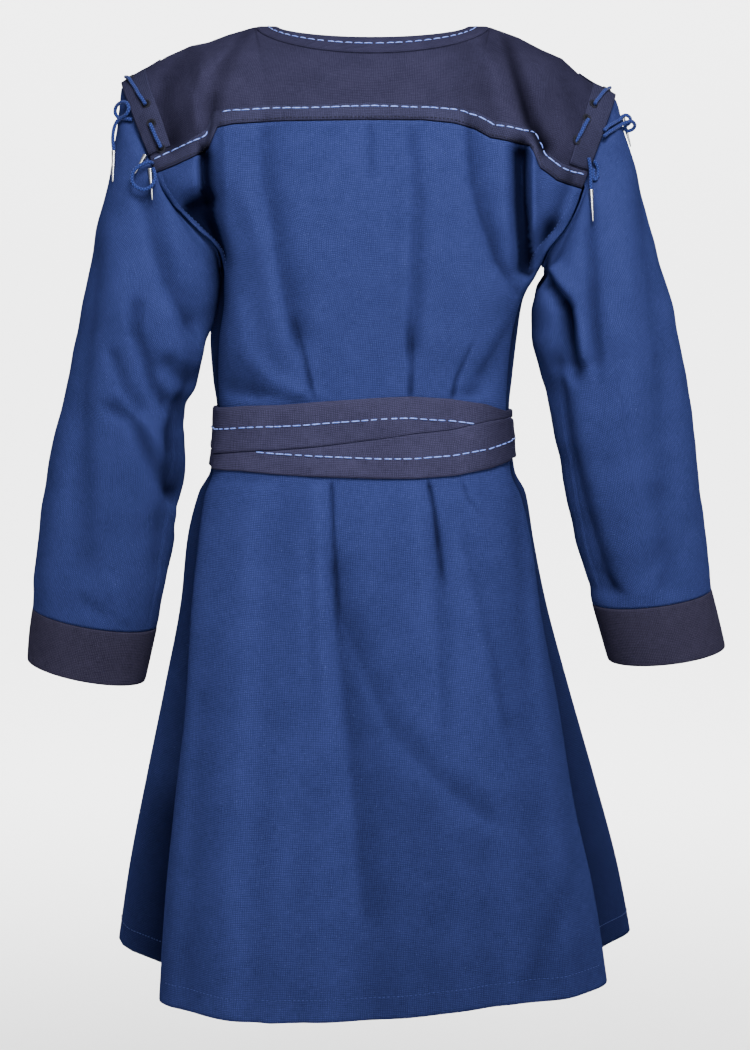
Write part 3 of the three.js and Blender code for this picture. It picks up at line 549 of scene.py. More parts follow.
FRONT_CREASES = (
    Crease(((-150, -150), (-140, -240)), -9, 12, 14, 22),
    Crease(((150, -150), (140, -240)), -9, 14, 12, 22),
    Crease(((110, -130), (96, -220), (80, -310)), -9, 5, 15, 24, (0.6, 1)),
    Crease(((78, -310), (60, -388)), -7.5, 8, 5, 14, (0.5, 1.1), SHARP),
    Crease(((-104, -130), (-94, -226), (-80, -300)), -8, 14, 5, 24, (0.6, 1)),
    Crease(((-84, -310), (-66, -388)), -7.5, 5, 8, 14, (0.5, 1.1), SHARP),
    Crease(((6, -140), (4, -250), (8, -330)), -6, 8, 9, 24, (0.4, 1)),
    Crease(((6, -340), (4, -388)), -6, 6, 6, 12, (0.6, 1.2), SHARP),
    Crease(((140, -300), (100, -366), (66, -382)), 6, 14, 10, 14, (0.5, 1)),
    Crease(((-136, -306), (-104, -362), (-70, -382)), 6, 10, 14, 14, (0.5, 1)),
    Crease(((48, -456), (44, -560), (34, -680), (26, -800)), -6, 7, 18, 26, (1, 0.4)),
    Crease(((-50, -456), (-56, -560), (-66, -700)), -6, 16, 7, 26, (1, 0.4)),
    Crease(((66, -480), (60, -640)), 5, 16, 10, 30, (1, 0.5)),
    Crease(((-2, -464), (-6, -520)), -7, 5, 5, 14, (1, 0.4), SHARP),
    Crease(((110, -470), (124, -600), (140, -960)), 9, 30, 24, 60),
    Crease(((-120, -500), (-134, -620), (-160, -960)), 9, 24, 30, 60),
    Crease(((86, -640), (96, -980)), -6, 18, 22, 60),
    Crease(((-90, -700), (-104, -980)), -6, 20, 20, 60),
    Crease(((0, -620), (0, -960)), 6, 36, 36, 90),
)
# Creases on the sleeves; those with shade carry painted shade.
SLEEVE_CREASES = {
    Side.LEFT: (
        Crease(((232, -178), (220, -222), (206, -262), (184, -302)), -10, 10, 18, 18, (0.8, 1), shade=0.15),
        Crease(((262, -230), (252, -286)), 4, 20, 16, 30),
        Crease(((242, -292), (242, -316), (232, -342), (222, -372), (212, -388)), -10, 6, 10, 12, (0.7, 1)),
        Crease(((206, -300), (200, -340)), 5, 16, 12, 20),
        Crease(((206, -350), (182, -372)), -9, 14, 12, 14),
        Crease(((264, -344), (254, -372), (240, -392)), -5, 6, 10, 14),
        Crease(((262, -398), (248, -406), (232, -436), (216, -470), (206, -488)), -9, 8, 10, 16, (0.7, 0.8)),
        Crease(((194, -390), (205, -418), (208, -448), (203, -482)), -9, 9, 16, 12, shade=0.5),
        Crease(((232, -408), (214, -444)), 5, 8, 8, 14),
        Crease(((216, -512), (222, -552)), -5, 12, 12, 20),
        Crease(((288, -250), (302, -380), (298, -540)), -6, 18, 14, 40),
        Crease(((300, -596), (282, -612)), -2, 7, 7, 10),
        Crease(((270, -586), (262, -614)), 2.5, 6, 6, 10),
        Crease(((318, -440), (336, -560)), 3, 16, 12, 40),
    ),
    Side.RIGHT: (
        Crease(((-184, -252), (-204, -280), (-215, -322), (-221, -350)), 8, 9, 8, 12, (0.7, 1)),
        Crease(((-178, -262), (-196, -294), (-203, -346)), -10, 8, 7, 12),
        Crease(((-219, -158), (-222, -230), (-226, -300), (-228, -342)), -8, 8, 7, 20, (0.6, 1)),
        Crease(((-196, -290), (-190, -346)), -7, 12, 16, 12, shade=0.3),
        Crease(((-206, -362), (-216, -352)), -7, 8, 8, 8),
        Crease(((-188, -376), (-202, -450), (-222, -520), (-244, -584)), -11, 22, 12, 30, (0.9, 0.8)),
        Crease(((-252, -180), (-262, -340), (-270, -520)), 4, 20, 16, 50),
        Crease(((-286, -190), (-300, -340), (-306, -560)), -6, 16, 22, 50),
        Crease(((-236, -572), (-256, -588)), -2, 7, 7, 12),
        Crease(((-300, -560), (-290, -584)), 2, 8, 8, 12),
    ),
}

# ------------------------------------------------------------------ the garment's surfaces


@dataclass(frozen=True)
class NeckLine:
    """A round line of the neck: half its width, its depths and how far it hangs."""

    half_width: float
    back: float
    front: float
    back_drop: float
    front_drop: float

    def at(self, face: Face, share: Array) -> Array:
        """The line at a share, from 0.45 at the left neck point to -0.45."""
        angle = share / NECK_SHARE * math.pi / 2
        middle = np.clip(np.cos(angle), 0, 1)
        back = face is Face.BACK
        depth, drop = (self.back, self.back_drop) if back else (-self.front, self.front_drop)
        z = SHOULDER.linear("z", share)
        return point(self.half_width * np.sin(angle), depth * middle, z - drop * middle**1.2)


NECK_EDGE = NeckLine(97, 62, 86, 17, 40)
NECK_SEAM = NeckLine(121, 75, 93, 35, 58)


@dataclass(frozen=True)
class Torso:
    """The outer faces of the panels and yokes, as functions of a share across and a height."""

    # Half the gap between a panel and its yoke, how far the front panel's edge laps the back's at
    # the side seam, how deep that seam is drawn in, and the gap between the yokes at the shoulder.
    seam_half: float = 0.5
    side_lap: float = 0.5
    seam_inset: float = 1.1
    clear: float = 0.3

    def belt_free(self, z: Array) -> Array:
        """0 where the belt presses the cloth flat, 1 well away from it."""
        outside = np.maximum(np.maximum(z - BELT_HEAD, BELT_FOOT - z), 0)
        return smoothstep(outside, 0, BELT_FLATTEN)

    def plain(self, face: Face, share: Array, z: Array) -> Array:
        """The back or front panel before it is creased.

        The back is a crown between two edges, whose depth is
        edge + (middle - edge) * (1 - |share|^square)^curl. The front has a side return beside each
        seam, and an arch between them.

        Args:
            face: Back or front.
            share: 1 at the left edge to -1 at the right.
            z: Height.

        Returns:
            Points.
        """
        read = partial((BACK if face is Face.BACK else FRONT).smooth, at=z)
        s = np.clip(share, -1, 1)

        def pick(left: str, right: str) -> Array:
            """One column left of the middle, and another right of it."""
            return np.where(s > 0, read(left), read(right))

        if face is Face.BACK:
            x = lerp(read("right"), read("left"), (share + 1) / 2)
            edge = lerp(read("rightY"), read("leftY"), (s + 1) / 2)
            square, curl = pick("squareL", "squareR"), pick("curlL", "curlR")
            crown = np.clip(1 - np.abs(s) ** square, 0, 1) ** curl
            return point(x, edge + (read("back") - edge) * crown, z)
        out, tuck = pick("outL", "outR"), pick("tuckL", "tuckR")
        size = np.abs(s)
        q = np.clip((1 - size) / RETURN_SHARE, 0, 1)
        inward = -np.sign(out) * (tuck * np.sin(math.pi * q) ** 2 + self.seam_inset * bell(q, 0.03))
        side_x = lerp(pick("left", "right"), out, smoothstep(q, 0, 1)) + inward
        side_y = lerp(pick("leftY", "rightY") + self.side_lap, read("outY"), q)
        angle = np.clip(size / (1 - RETURN_SHARE), 0, 1) * math.pi / 2
        arch_x = lerp((read("outL") + read("outR")) / 2, out, np.sin(angle) ** 0.9)
        arch_y = read("outY") + (read("front") - read("outY")) * np.clip(np.cos(angle), 0, 1) ** 0.85
        side = size > 1 - RETURN_SHARE
        return point(np.where(side, side_x, arch_x), np.where(side, side_y, arch_y), z)

    def folds(self, face: Face, share: Array, x: Array, z: Array) -> tuple[Array, Array]:
        """How far creases move the cloth outwards and towards +X.

        They are pressed flat under the belt, and held at the panel's sewn edges.

        Args:
            face: Back or front.
            share: Place across the panel.
            x: Where that is, across.
            z: Height.

        Returns:
            The move outwards, and the move towards +X.
        """
        back = face is Face.BACK
        creases, seed = (BACK_CREASES, 3) if back else (FRONT_CREASES, 13)
        size = np.abs(np.clip(share, -1, 1))
        held = 1 - size**EDGE_HOLD if back else np.clip(1 - (size / (1 - RETURN_SHARE)) ** 6, 0, 1)
        waves = ((1.5, 130), (0.7, 52), (0.25, 21))
        uneven = sum(tall * ripple(x, z, wave, seed + k) for k, (tall, wave) in enumerate(waves))
        free = self.belt_free(z) * held
        return (crease_height(creases, x, z) + uneven) * free, crease_push(creases, x, z) * held

    def tone(self, face: Face, share: Array, x: Array, z: Array) -> Array:
        """The tone of a grid: painted shade and light from its folds, less half the painted shade of its
        creases.
        """
        creases = BACK_CREASES if face is Face.BACK else FRONT_CREASES
        shade = np.clip(crease_shade(creases, x, z), -1, 1)
        return tone_of(self.folds(face, share, x, z)[0]) - SHADE_WEIGHT * shade

    def panel(self, face: Face, share: Array, z: Array) -> Array:
        """The back or front panel with its creases."""
        place = self.plain(face, share, z)
        out, side = self.folds(face, share, place[..., 0], z)
        return place + point(side, out * face.value, 0)

    def plain_yoke(self, face: Face, share: Array, rise: Array) -> Array:
        """A yoke before it is creased, from its seam (rise 0) to the shoulder and neck (rise 1).

        It climbs as a quarter round at the shoulder tips, and half way between that and a straight
        slope at the neck.

        Args:
            face: Back or front.
            share: 1 at the left to -1.
            rise: 0 to 1.

        Returns:
            Points.
        """
        share, rise = np.broadcast_arrays(np.asarray(share, float), np.asarray(rise, float))
        bottom = self.plain(face, share, SEAM[face].linear("z", share))
        size = np.abs(share)
        tip = np.where(share > 0, SHOULDER_TIP[1], SHOULDER_TIP[-1])
        reach = (size - NECK_SHARE) / (1 - NECK_SHARE)
        arm_x = np.sign(share) * lerp(NECK_SEAM.half_width, tip, reach)
        arm = point(arm_x, 0, SHOULDER.linear("z", share))
        top = np.where((size < NECK_SHARE)[..., None], NECK_SEAM.at(face, share), arm)
        t = np.clip(rise, 0, 1)
        turn = lerp(0.5, 1, smoothstep(size, 0.3, 1))
        up = lerp(t, np.sin(t * math.pi / 2), turn)
        away = lerp(t, 1 - np.cos(t * math.pi / 2), turn)
        x = lerp(bottom[..., 0], top[..., 0], up)
        z = lerp(bottom[..., 2], top[..., 2], up) + self.seam_half * (1 - up)
        gap = self.clear * away if face is Face.BACK else 0
        return point(x, lerp(bottom[..., 1], top[..., 1], away) + gap, z)

    def yoke(self, face: Face, share: Array, rise: Array) -> Array:
        """A yoke with its creases, which die away towards the shoulder."""
        place = self.plain_yoke(face, share, rise)
        out, side = self.folds(face, share, place[..., 0], place[..., 2])
        fading = 1 - smoothstep(rise, 0.35, 1)
        return place + point(side * fading, out * face.value * fading, 0)

    def outward(self, surface: Surface, u: Array, v: Array, face: Face, step: float) -> Array:
        """Outward unit direction of a surface, from points a small step to each side.

        Args:
            surface: A function of share and height, or of share and rise.
            u: Share.
            v: Height or rise.
            face: Back or front.
            step: The small step along v; a yoke's rise needs a smaller one than a height.

        Returns:
            Unit vectors.
        """
        aside = 0.004
        along = surface(np.minimum(u + aside, 1), v) - surface(np.maximum(u - aside, -1), v)
        up = surface(u, v + step) - surface(u, v - step)
        return unit(np.cross(up, along) * (1 if face is Face.BACK else -1))

    def band_rise(self, face: Face, share: Array, width: Array | float = BAND_WIDTH) -> Array:
        """The rise, in steps of about 0.005, at which a strip along the yoke's lower edge ends."""
        rises = np.linspace(0, 0.6, 120)
        line = self.plain_yoke(face, np.asarray(share, float)[..., None], rises)
        far = np.linalg.norm(line - line[..., :1, :], axis=-1)
        return rises[np.argmax(far >= np.asarray(width)[..., None], axis=-1)]


TORSO = Torso()


def shares_across(count: int) -> Array:
    """Shares from 1 to -1, closer together at the slots beside the armholes and at the edges.

    Their density is 1 with a bell of 1.6 at a share of 0.76 and one of 0.8 at each edge.

    Args:
        count: How many shares.

    Returns:
        The shares.
    """
    fine = np.linspace(1, -1, 2001)
    dense = 1 + 1.6 * bell(np.abs(fine) - 0.76, 0.07) + 0.8 * bell(1 - np.abs(fine), 0.08)
    run = np.concatenate([[0], np.cumsum((dense[1:] + dense[:-1]) / 2)])
    return np.interp(np.linspace(0, run[-1], count), run, fine)


# ------------------------------------------------------------------ building meshes


def grid_normals(grid: Array, ring: bool) -> Array:
    """Unit normals of a grid of points, from the steps to its neighbours.

    The step across is wrapped round when the grid is a ring.

    Args:
        grid: Points, shape (across, up, 3).
        ring: Whether the last column joins the first.

    Returns:
        Unit vectors, the same shape.
    """
    if ring:
        across = np.roll(grid, -1, 0) - np.roll(grid, 1, 0)
    else:
        across = np.gradient(grid, axis=0)
    return unit(np.cross(across, np.gradient(grid, axis=1)))


def make_object(name: str, points: Array, quads: Array, uv: Array, material: Material) -> Object:
    """A smooth-shaded object from arrays.

    Args:
        name: Name of the object.
        points: Vertices in millimetres, shape (n, 3).
        quads: Vertex numbers of the faces, shape (m, 4).
        uv: One pair in metres for each corner, shape (m, 4, 2).
        material: Its finish.

    Returns:
        The object, at the origin, in the scene's collection.
    """
    mesh = bpy.data.meshes.new(name)
    mesh.vertices.add(len(points))
    mesh.vertices.foreach_set("co", (points * MM).astype(np.float32).ravel())
    mesh.loops.add(quads.size)
    mesh.loops.foreach_set("vertex_index", quads.astype(np.int32).ravel())
    mesh.polygons.add(len(quads))
    mesh.polygons.foreach_set("loop_start", np.arange(0, quads.size, 4, dtype=np.int32))
    mesh.polygons.foreach_set("use_smooth", np.ones(len(quads), bool))
    layer = mesh.uv_layers.new(name="cloth")
    layer.data.foreach_set("uv", uv.astype(np.float32).ravel())
    mesh.update(calc_edges=True)
    mesh.validate()
    mesh.materials.append(material)
    made = bpy.data.objects.new(name, mesh)
    bpy.context.scene.collection.objects.link(made)
    return made


def grid_quads(columns: int, rows: int, ring: bool, ring_up: bool = False) -> tuple[Array, Array]:
    """Faces of a grid and the grid place of each corner.

    Args:
        columns: Points across.
        rows: Points up.
        ring: Whether the last column joins the first.
        ring_up: Whether the last row joins the first.

    Returns:
        Vertex numbers (m, 4), and the corners' unwrapped places (m, 4, 2).
    """
    across = np.arange(columns if ring else columns - 1)
    up = np.arange(rows if ring_up else rows - 1)
    i, j = np.meshgrid(across, up, indexing="ij")
    place = np.stack([np.stack([i, i + 1, i + 1, i], -1), np.stack([j, j, j + 1, j + 1], -1)], -1)
    place = place.reshape(-1, 4, 2)
    return (place[..., 0] % columns) * rows + place[..., 1] % rows, place


def lengths_along(grid: Array, axis: int, ring: bool) -> Array:
    """Length run along one axis of a grid to each of its points, with one more step for a ring."""
    if ring:
        grid = np.concatenate([grid, np.take(grid, [0], axis)], axis)
    steps = np.linalg.norm(np.diff(grid, axis=axis), axis=-1)
    start = np.zeros_like(np.take(steps, [0], axis))
    return np.concatenate([start, np.cumsum(steps, axis)], axis)


def shell(
    name: str,
    outer: Array,
    out: Array,
    thickness: Array | float,
    material: Material,
    ring: bool,
    tone: Array | float,
) -> Object:
    """A closed wall of cloth: an outer grid, an inner one a thickness inside it, and edges.

    Args:
        name: Name of the object.
        outer: Points of the outer face in millimetres, shape (across, up, 3).
        out: Outward directions, the same shape.
        thickness: Wall in millimetres, one or one for each point.
        material: Its finish.
        ring: Whether the last column joins the first.
        tone: From 0, dark with painted shade, to 1, pale with painted light and wear, for each outer point.

    Returns:
        The object, with its cloth coordinates in metres and its tone.
    """
    columns, rows = outer.shape[:2]
    inner = outer - out * np.broadcast_to(thickness, (columns, rows))[..., None]
    faces, place = grid_quads(columns, rows, ring)
    u = lengths_along(outer, 0, ring)
    v = lengths_along(outer, 1, False)
    if ring:
        v = np.concatenate([v, v[:1]])
    uv = np.stack([u - u[u.shape[0] // 2], v], -1) * MM
    count = columns * rows
    quads = [faces, faces[:, ::-1] + count]
    spots = [place, place[:, ::-1]]
    across = np.arange(columns if ring else columns - 1)
    up = np.arange(rows - 1)
    rims = [(across, 0 * across + row, 1, 0, flip) for row, flip in ((0, True), (rows - 1, False))]
    if not ring:
        rims += [(0 * up + column, up, 0, 1, flip) for column, flip in ((0, False), (columns - 1, True))]
    for i, j, right, over, flip in rims:
        near = i * rows + j
        far = (i + right) % columns * rows + j + over
        edge = np.stack([near, far, far + count, near + count], -1)
        spot_i = np.stack([i, i + right, i + right, i], -1)
        spot_j = np.stack([j, j + over, j + over, j], -1)
        spot = np.stack([spot_i, spot_j], -1)
        quads.append(edge[:, ::-1] if flip else edge)
        spots.append(spot[:, ::-1] if flip else spot)
    quads, spots = np.concatenate(quads), np.concatenate(spots)
    points = np.concatenate([outer.reshape(-1, 3), inner.reshape(-1, 3)])
    corners = uv[spots[..., 0], spots[..., 1]]
    a, b, c = outer[0, 0], outer[1, 0], outer[1, 1]
    if np.dot(np.cross(b - a, c - b), out[0, 0]) < 0:
        quads, corners = quads[:, ::-1], corners[:, ::-1]
    made = make_object(name, points, quads, corners, material)
    # The outer face carries painted shade and light, with the belt's wear, as the tone; the inner face stays
    # plain.
    painted_light_and_wear = np.full((2, columns, rows), PLAIN_TONE, np.float32)
    painted_light_and_wear[0] = tone
    made.data.attributes.new("tone", "FLOAT", "POINT").data.foreach_set("value", painted_light_and_wear.ravel())
    return made


def frames_along(path: Array) -> tuple[Array, Array]:
    """Two unit vectors across a path at each of its points, carried along it without twist."""
    tangent = unit(np.gradient(path, axis=0))
    aslant = [0.31, 0.52, 0.79]
    side = np.empty_like(path)
    side[0] = unit(np.cross(tangent[0], aslant))
    for k in range(1, len(path)):
        side[k] = unit(side[k - 1] - tangent[k] * np.dot(side[k - 1], tangent[k]))
    return side, np.cross(tangent, side)


def swept(name: str, path: Array, radius: Array, material: Material, sides: int = 16) -> Object:
    """A closed round tube along a path, whose ends are drawn in to a point.

    Args:
        name: Name of the object.
        path: Its middle line in millimetres, shape (n, 3).
        radius: Radius at each point.
        material: Its finish.
        sides: Points round.

    Returns:
        The object.
    """
    side, other = frames_along(path)
    angle = np.linspace(0, 2 * math.pi, sides, endpoint=False)
    round_ = np.cos(angle)[:, None, None] * side + np.sin(angle)[:, None, None] * other
    grid = path + round_ * np.broadcast_to(radius, len(path))[:, None]
    faces, place = grid_quads(sides, len(path), True)
    run = lengths_along(path[None], 1, False)[0]
    girth = 2 * math.pi * float(np.max(radius))
    uv = np.stack([place[..., 0] / sides * girth, run[place[..., 1]]], -1) * MM
    points = np.concatenate([grid.reshape(-1, 3), path[:1], path[-1:]])
    pair = np.arange(0, sides, 2)
    caps = []
    for row, pole, flip in ((0, len(points) - 2, True), (len(path) - 1, len(points) - 1, False)):
        rim = [(pair + k) % sides * len(path) + row for k in range(3)]
        fan = np.stack([*rim, np.full(len(pair), pole)], -1)
        caps.append(fan[:, ::-1] if flip else fan)
    caps = np.concatenate(caps)
    quads = np.concatenate([faces, caps])
    uv = np.concatenate([uv, np.zeros((len(caps), 4, 2))])
    return make_object(name, points, quads, uv, material)


@dataclass(frozen=True)
class Strand:
    """Many short threads, each a capsule bent over the cloth from one point to another."""

    radius: float
    rise: float
    along: int
    sides: int = 6

    def build(self, name: str, path: Array, out: Array, material: Material) -> Object:
        """The threads as one mesh.

        Each goes along its own piece of path and stands off it by rise * sin(pi t), and its radius
        is drawn in at both ends.

        Args:
            name: Name of the object.
            path: Points under each thread, shape (threads, along, 3).
            out: Outward directions, the same shape.
            material: Its finish.

        Returns:
            The object.
        """
        count, along = path.shape[:2]
        t = np.linspace(0, 1, along)
        arch = np.sin(math.pi * t)[:, None]
        middle = path + out * (self.rise * arch - 0.25 * self.radius)
        tangent = unit(np.gradient(path, axis=1))
        side = unit(np.cross(tangent, out))
        up = np.cross(side, tangent)
        thin = self.radius * rounded(t, 6, 0.02)
        angle = np.linspace(0, 2 * math.pi, self.sides, endpoint=False)
        cos, sin = np.cos(angle), np.sin(angle)
        ring = middle[:, :, None] + thin[None, :, None, None] * (
            cos[None, None, :, None] * side[:, :, None] + 0.8 * sin[None, None, :, None] * up[:, :, None]
        )
        faces, place = grid_quads(along, self.sides, False, True)
        caps = np.array([[0, 1, 2, 3], [0, 3, 4, 5]])  # the two halves of a six-sided end
        last = (along - 1) * self.sides
        one = np.concatenate([faces, caps[:, ::-1], caps + last])
        quads = one[None] + (np.arange(count) * along * self.sides)[:, None, None]
        uv = np.zeros((len(one), 4, 2))
        uv[: len(faces)] = place * MM
        uvs = np.tile(uv, (count, 1, 1))
        return make_object(name, ring.reshape(-1, 3), quads.reshape(-1, 4), uvs, material)


def dashes(line: Array, out: Array, length: float, gap: float, along: int, seed: int) -> tuple[Array, Array]:
    """Cuts a long line on the cloth into running stitches.

    Args:
        line: Points of the line, shape (n, 3), in millimetres.
        out: Outward directions there.
        length: Length of a stitch.
        gap: Length between stitches.
        along: Points for each stitch.
        seed: Chooses how the stitches vary.

    Returns:
        Points and directions, shape (stitches, along, 3).
    """
    run = lengths_along(line[None], 1, False)[0]
    count = max(int((run[-1] - gap) // (length + gap)), 1)
    pitch = run[-1] / count
    rng = np.random.default_rng(seed)
    start = (np.arange(count) + 0.5) * pitch - length / 2 + rng.normal(0, 0.05 * pitch, count)
    size = length * rng.uniform(0.86, 1.1, count)
    at = start[:, None] + size[:, None] * np.linspace(0, 1, along)

    def read_at(rows: Array) -> Array:
        """Rows of the line, read along its length."""
        return np.stack([np.interp(at, run, rows[:, k]) for k in range(3)], -1)

    return read_at(line), unit(read_at(out))


# ------------------------------------------------------------------ finishes


def linear_rgb(code: str) -> tuple[float, float, float, float]:
    """An sRGB hex colour turned to linear light, with alpha 1."""
    parts = [int(code[i : i + 2], 16) / 255 for i in (1, 3, 5)]
    return tuple(c / 12.92 if c <= 0.04045 else ((c + 0.055) / 1.055) ** 2.4 for c in parts) + (1.0,)


def add_node(
    tree: Tree,
    kind: str,
    inputs: dict | None = None,
    stops: Sequence[tuple[float, tuple]] = (),
    **settings: object,
) -> bpy.types.Node:
    """Adds a shader node, sets its properties and fills its inputs.

    Args:
        tree: The node tree.
        kind: The node's type.
        inputs: For each input name or number, a constant, or an output socket to link to it.
        stops: Positions and colours of a colour ramp.
        **settings: Properties of the node.

    Returns:
        The node.
    """
    node = tree.nodes.new(kind)
    for key, value in settings.items():
        setattr(node, key, value)
    for key, value in (inputs or {}).items():
        if isinstance(value, Socket):
            tree.links.new(value, node.inputs[key])
        else:
            node.inputs[key].default_value = value
    for k, (place, colour) in enumerate(stops):
        elements = node.color_ramp.elements
        element = elements[k] if k < len(elements) else elements.new(place)
        element.position, element.color = place, colour
    return node


def new_material(name: str) -> tuple[Material, Tree]:
    """An empty node material and its tree."""
    material = bpy.data.materials.new(name)
    material.use_nodes = True
    material.node_tree.nodes.clear()
    return material, material.node_tree


def coordinates(tree: Tree, kind: str) -> Socket:
    """A set of texture coordinates: UV is the cloth's own, and Object its place."""
    return add_node(tree, "ShaderNodeTexCoord").outputs[kind]


def calculate(tree: Tree, operation: str, *values: Socket | float) -> Socket:
    """The result of a math node."""
    return add_node(tree, "ShaderNodeMath", dict(enumerate(values)), operation=operation).outputs[0]


def noise(tree: Tree, vector: Socket, scale: float, detail: float) -> Socket:
    """Noise from about 0 to 1 over a set of coordinates."""
    inputs = {"Vector": vector, "Scale": scale, "Detail": detail}
    return add_node(tree, "ShaderNodeTexNoise", inputs).outputs["Fac"]


def ramp(tree: Tree, level: Socket, *stops: tuple[float, tuple]) -> Socket:
    """A colour read from a ramp at a level."""
    return add_node(tree, "ShaderNodeValToRGB", {"Fac": level}, stops).outputs["Color"]


def relief(tree: Tree, height: Socket, strength: float, depth: float) -> Socket:
    """A normal bent by a height, whose whole step is depth millimetres."""
    inputs = {"Height": height, "Strength": strength, "Distance": depth * MM}
    return add_node(tree, "ShaderNodeBump", inputs).outputs["Normal"]


def principled(tree: Tree, inputs: dict) -> None:
    """Ends a tree in a Principled shader with these inputs."""
    surface = add_node(tree, "ShaderNodeBsdfPrincipled", inputs).outputs[0]
    add_node(tree, "ShaderNodeOutputMaterial", {"Surface": surface})


@dataclass(frozen=True)
class WovenCotton:
    """Plain-woven cotton: crossed threads of uneven thickness, slubs, pale flecks and soft mottling."""

    name: str
    dark: str
    light: str
    fleck: str
    pitch: float = 1.8
    slub: float = 0.7
    mottle: float = 0.4
    fleck_share: float = 0.25
    bump: float = 0.5
    sheen: float = 0.06
    roughness: float = 0.92

    def build(self) -> Material:
        """The node material, in the cloth's own coordinates."""
        material, tree = new_material(self.name)
        cloth = coordinates(tree, "UV")
        place = coordinates(tree, "Object")
        # Threads: real ones are about 0.4 mm apart; drawn as coarse as pitch so that they show.
        wave = {
            "Vector": cloth,
            "Scale": WAVE_LENGTH / (self.pitch * MM),
            "Distortion": 3.2,
            "Detail": 2.0,
            "Detail Scale": 0.7,
        }
        warp, weft = (
            add_node(tree, "ShaderNodeTexWave", wave, bands_direction=axis).outputs["Fac"] for axis in "XY"
        )
        threads = calculate(tree, "MULTIPLY", warp, weft)
        # Slubs: thicker, paler stretches of thread that run along the cloth both ways.
        slubs = [self._streaks(tree, cloth, scale) for scale in ((90, 1000, 1), (1000, 90, 1))]
        slub = calculate(tree, "ADD", *slubs)
        weave = calculate(tree, "MULTIPLY_ADD", slub, self.slub, threads)
        # Mottling: patches a few centimetres wide where the dye and the nap vary.
        patch = noise(tree, place, 30.0, 5.0)
        shade = calculate(tree, "MULTIPLY_ADD", patch, self.mottle, weave)
        spread = {"Value": shade, "From Min": 0.5, "From Max": 1.9}
        level = add_node(tree, "ShaderNodeMapRange", spread).outputs[0]
        dyed = ramp(tree, level, (0.0, linear_rgb(self.dark)), (1.0, linear_rgb(self.light)))
        # Flecks: short undyed fibre ends, a millimetre across.
        grain = noise(tree, cloth, 620.0, 1.0)
        pale = {"Value": grain, "From Min": 0.66, "From Max": 0.82, "To Max": self.fleck_share}
        fleck = add_node(tree, "ShaderNodeMapRange", pale).outputs[0]
        speckled = self._mix(tree, fleck, dyed, linear_rgb(self.fleck))
        # Painted shade and light from the tone attribute: troughs, slots and shaded parts darker, ridges
        # paler, as painted light and as wear.
        tone = add_node(tree, "ShaderNodeAttribute", attribute_name="tone").outputs["Fac"]
        painted_light_greys = ((0.0, (0.13, 0.13, 0.14, 1)), (PLAIN_TONE, (0.86, 0.86, 0.86, 1)), (1.0, (1, 1, 1, 1)))
        colour = self._mix(tree, 1.0, speckled, ramp(tree, tone, *painted_light_greys), blend_type="MULTIPLY")
        inputs = {
            "Base Color": colour,
            "Roughness": self.roughness,
            "Sheen Weight": self.sheen,
            "Sheen Roughness": 0.5,
            "Sheen Tint": linear_rgb(self.light),
            # No gloss at all: cotton seen along its face would show a grey edge.
            "Specular IOR Level": 0.0,
            "Normal": relief(tree, weave, self.bump, 0.4),
        }
        principled(tree, inputs)
        return material

    def _streaks(self, tree: Tree, cloth: Socket, scale: tuple) -> Socket:
        """Noise drawn out along one direction of the cloth."""
        mapped = add_node(tree, "ShaderNodeMapping", {"Vector": cloth, "Scale": scale}).outputs[0]
        return noise(tree, mapped, 1.0, 2.0)

    def _mix(
        self, tree: Tree, factor: Socket | float, first: Socket, second: Socket | tuple, **way: str
    ) -> Socket:
        """Two colours mixed; 6, 7 and 2 are the mix node's colour inputs and output."""
        inputs = {"Factor": factor, 6: first, 7: second}
        return add_node(tree, "ShaderNodeMix", inputs, data_type="RGBA", **way).outputs[2]


@dataclass(frozen=True)
class BraidedCord:
    """Round braided cotton cord: two crossing sets of plaited strands and a soft nap."""

    name: str
    dark: str
    light: str
    pitch: float = 2.4
    slant: float = 0.9

    def build(self) -> Material:
        """The node material, along the cord's own length."""
        material, tree = new_material(self.name)
        cloth = coordinates(tree, "UV")
        sets = []
        for turn in (self.slant, -self.slant):
            turned = {"Vector": cloth, "Rotation": (0, 0, turn)}
            mapped = add_node(tree, "ShaderNodeMapping", turned).outputs[0]
            wave = {"Vector": mapped, "Scale": WAVE_LENGTH / (self.pitch * MM)}
            sets.append(add_node(tree, "ShaderNodeTexWave", wave).outputs["Fac"])
        braid = calculate(tree, "MULTIPLY", *sets)
        fuzz = noise(tree, cloth, 900.0, 2.0)
        both = calculate(tree, "MULTIPLY_ADD", fuzz, 0.4, braid)
        inputs = {
            "Base Color": ramp(tree, both, (0.1, linear_rgb(self.dark)), (0.9, linear_rgb(self.light))),
            "Roughness": 0.85,
            "Sheen Weight": 0.05,
            "Specular IOR Level": 0.08,
            "Normal": relief(tree, both, 0.6, 0.5),
        }
        principled(tree, inputs)
        return material


@dataclass(frozen=True)
class PolishedMetal:
    """Nickel-plated sheet rolled to a cone: bright, with faint draw lines and handling marks."""

    name: str
    colour: str
    roughness: float = 0.22

    def build(self) -> Material:
        """The node material, in object coordinates."""
        material, tree = new_material(self.name)
        marks = noise(tree, coordinates(tree, "Object"), 420.0, 3.0)
        spread = {"Value": marks, "To Min": self.roughness - 0.08, "To Max": self.roughness + 0.14}
        inputs = {
            "Base Color": linear_rgb(self.colour),
            "Metallic": 1.0,
            "Roughness": add_node(tree, "ShaderNodeMapRange", spread).outputs[0],
            "Normal": relief(tree, marks, 0.08, 0.2),
        }
        principled(tree, inputs)
        return material


